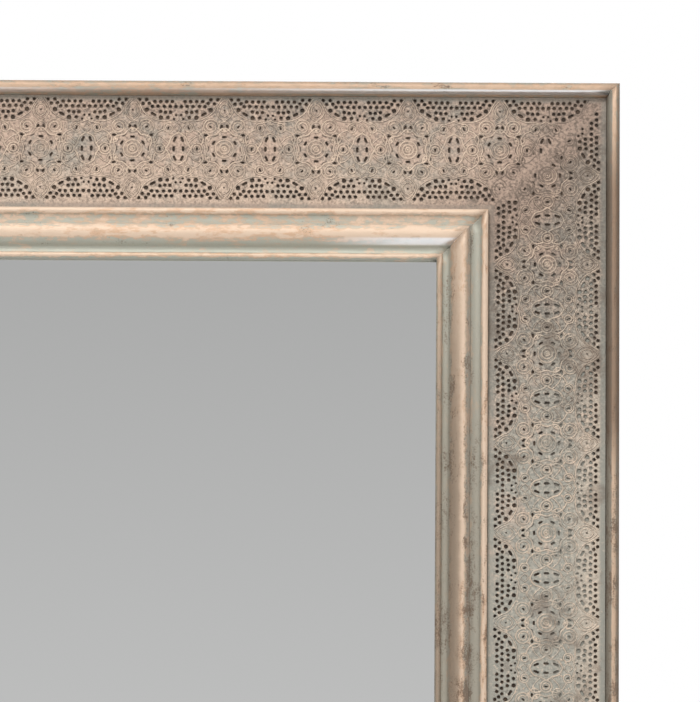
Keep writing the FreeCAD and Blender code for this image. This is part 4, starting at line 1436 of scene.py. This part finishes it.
class MIRROR_OT_glazing(Operator):
    """Finish the glass, its backboard and the rubber pieces"""
    bl_idname = "mirror.glazing"
    bl_label = "Glass and back"

    def execute(self, context):
        colours = context.scene.mirror_colours
        finish_nodes(glass_finish(colours.silver, colours.paint), "mirror_glass")
        finish_nodes(hardboard_finish(colours.hardboard), "backboard")
        rubber = rubber_finish(colours.rubber)
        finish_nodes(rubber, "glass_edge_spacers", "glass_setting_blocks", "wall_bumpers")
        return {"FINISHED"}


class MIRROR_OT_hardware(Operator):
    """Finish the screws, plates, hangers and turn buttons"""
    bl_idname = "mirror.hardware"
    bl_label = "Hardware"

    def execute(self, context):
        zinc = metal_finish("zinc_steel", context.scene.mirror_colours.zinc, 0.32, 0.08)
        finish_nodes(zinc, "corner_plate", "moulding_screws", "hanger_", "hanging_ring_", "turn_button_")
        return {"FINISHED"}


# Studio

SENSOR_WIDTH_MM = 36

# Each lamp's place and width in metres, and its power as a share of the key lamp's
LAMPS = {
    "key_lamp": ((-0.7, -3.8, 3.2), 1.5, 1.0),
    "fill_lamp": ((3.6, -3.6, 0.6), 2.6, 0.18),
    "back_lamp": ((1.0, 4.6, 2.4), 2.6, 0.8),
}

# How bright the room is that metal and glass reflect, from straight below to straight above
ROOM_LEVELS = (
    (0, 1), (0.50, 0.90), (0.600, 0.645), (0.611, 0.562), (0.626, 0.442), (0.65, 0.37),
    (0.72, 0.24), (1, 0.30),
)
WHITE = (1, 1, 1)


class MIRROR_OT_stage(Operator):
    """Make the camera, the floor, the lamps and the world"""
    bl_idname = "mirror.stage"
    bl_label = "Stage"

    def execute(self, context):
        studio = context.scene.mirror_studio
        self.add_camera(context, studio)
        self.add_floor(studio)
        self.add_lamps(context, studio)
        self.set_world(context, studio)
        context.scene.view_settings.view_transform = "Standard"
        return {"FINISHED"}

    def add_camera(self, context, studio):
        camera = bpy.data.cameras.new("camera")
        camera.sensor_width = SENSOR_WIDTH_MM
        camera.sensor_fit = "HORIZONTAL"
        camera.lens = studio.focal_pixels * camera.sensor_width / studio.photo_width
        holder = bpy.data.objects.new("camera", camera)
        context.scene.collection.objects.link(holder)
        turn, rise, roll = studio.turn, studio.rise, studio.roll
        ahead = Vector(
            (-math.sin(turn) * math.cos(rise), math.cos(turn) * math.cos(rise), -math.sin(rise))
        )
        level = Vector((math.cos(turn), math.sin(turn), 0))
        upward = level.cross(ahead)
        right = math.cos(roll) * level + math.sin(roll) * upward
        up = math.cos(roll) * upward - math.sin(roll) * level
        place = Vector(studio.aim) - studio.distance * ahead
        axes = Matrix((right, up, -ahead)).transposed().to_4x4()
        holder.matrix_world = Matrix.Translation(place) @ axes
        context.scene.camera = holder

    def add_floor(self, studio):
        """A pale disc below the mirror that fades into the white and keeps its shadow."""
        level = CAD_LOW.z - studio.floor_drop
        ring = circle(Vector((0, 0)), studio.floor_radius, FLOOR_SIDES)
        vertices = [(point.x, point.y, level) for point in ring]
        finish = Finish("floor", roughness=0.9)
        reach = (finish.x * finish.x + finish.y * finish.y).root()
        faded = reach.ramp(0.35 * studio.floor_radius, 0.95 * studio.floor_radius)
        grain = finish.noise(finish.whole, 30, 3, 0.5)
        finish.feed(base_color=finish.mix(grain.ramp(0.3, 0.7), (0.80,) * 3, (0.83,) * 3))
        camera = finish.add("ShaderNodeLightPath", output="Is Camera Ray")
        glossy = finish.add("ShaderNodeLightPath", output="Is Glossy Ray")
        behind = finish.add("ShaderNodeNewGeometry", output="Backfacing")
        white = finish.add("ShaderNodeEmission", {}, {"Color": WHITE, "Strength": 1.0})
        clear = finish.add("ShaderNodeBsdfTransparent")
        pale = Expression(finish, finish.shader.outputs[0])
        share = faded * camera.most(glossy)
        shaded = finish.add("ShaderNodeMixShader", {}, {0: share, 1: pale, 2: white})
        seen = finish.add("ShaderNodeMixShader", {}, {0: behind, 1: shaded, 2: clear})
        finish.set(finish.tree.nodes["Material Output"].inputs["Surface"], seen)
        new_object("floor", vertices, [list(range(len(vertices)))], finish.material)

    def add_lamps(self, context, studio):
        centre = Vector((0, 0, MIDDLE_Z))
        for name, (place, size, share) in LAMPS.items():
            lamp = bpy.data.lights.new(name, "AREA")
            lamp.shape = "DISK"
            lamp.size = size
            lamp.energy = share * studio.key_power
            holder = bpy.data.objects.new(name, lamp)
            holder.location = place
            holder.rotation_euler = (centre - holder.location).to_track_quat("-Z", "Y").to_euler()
            context.scene.collection.objects.link(holder)

    def set_world(self, context, studio):
        """White for the camera; metal and glass see a room that is white low down and dims above."""
        world = bpy.data.worlds.new("studio")
        world.use_nodes = True
        context.scene.world = world
        graph = Graph(world.node_tree)
        camera = graph.add("ShaderNodeLightPath", output="Is Camera Ray")
        glossy = graph.add("ShaderNodeLightPath", output="Is Glossy Ray")
        through = graph.add("ShaderNodeLightPath", output="Is Transmission Ray")
        heading = graph.add("ShaderNodeTexCoord", output="Generated")
        height = graph.add("ShaderNodeSeparateXYZ", {}, {0: heading}, "Z") * 0.5 + 0.5
        room = graph.add("ShaderNodeValToRGB", {"stops": ROOM_LEVELS}, {"Fac": height})
        sky = graph.add("ShaderNodeBackground", {}, {"Color": graph.mix(glossy, WHITE, room)})
        fill = graph.add("ShaderNodeBackground", {}, {"Color": WHITE, "Strength": studio.fill})
        share = camera.most(glossy).most(through)
        seen = graph.add("ShaderNodeMixShader", {}, {0: share, 1: fill, 2: sky})
        graph.set(graph.tree.nodes["World Output"].inputs["Surface"], seen)


OPERATORS = (
    MIRROR_OT_stage,
    MIRROR_OT_pierced_sheets,
    MIRROR_OT_rim,
    MIRROR_OT_moulding,
    MIRROR_OT_pins,
    MIRROR_OT_wood,
    MIRROR_OT_glazing,
    MIRROR_OT_hardware,
)


class MIRROR_PT_sidebar(Panel):
    """Lists the mirror's sizes, colours and steps"""
    bl_label = "Filigree wall mirror"
    bl_idname = "MIRROR_PT_sidebar"
    bl_space_type = "VIEW_3D"
    bl_region_type = "UI"
    bl_category = "Mirror"

    def draw(self, context):
        layout = self.layout
        for group in SETTINGS:
            box = layout.box()
            settings = getattr(context.scene, group)
            for name in settings.bl_rna.properties.keys():
                if name not in ("rna_type", "name"):
                    box.prop(settings, name)
        for operator in OPERATORS:
            layout.operator(operator.bl_idname)


SETTINGS = {
    "mirror_filigree": MirrorFiligreeSizes,
    "mirror_cladding": MirrorCladdingSizes,
    "mirror_colours": MirrorColours,
    "mirror_wear": MirrorWear,
    "mirror_studio": MirrorStudio,
}


def register():
    for group in (*SETTINGS.values(), *OPERATORS, MIRROR_PT_sidebar):
        bpy.utils.register_class(group)
    for name, group in SETTINGS.items():
        setattr(bpy.types.Scene, name, PointerProperty(type=group))


def unregister():
    for name in SETTINGS:
        delattr(bpy.types.Scene, name)
    for group in reversed((*SETTINGS.values(), *OPERATORS, MIRROR_PT_sidebar)):
        bpy.utils.unregister_class(group)


def main():
    register()
    for operator in OPERATORS:
        module, name = operator.bl_idname.split(".")
        getattr(getattr(bpy.ops, module), name)()


if __name__ == "__main__":
    main()
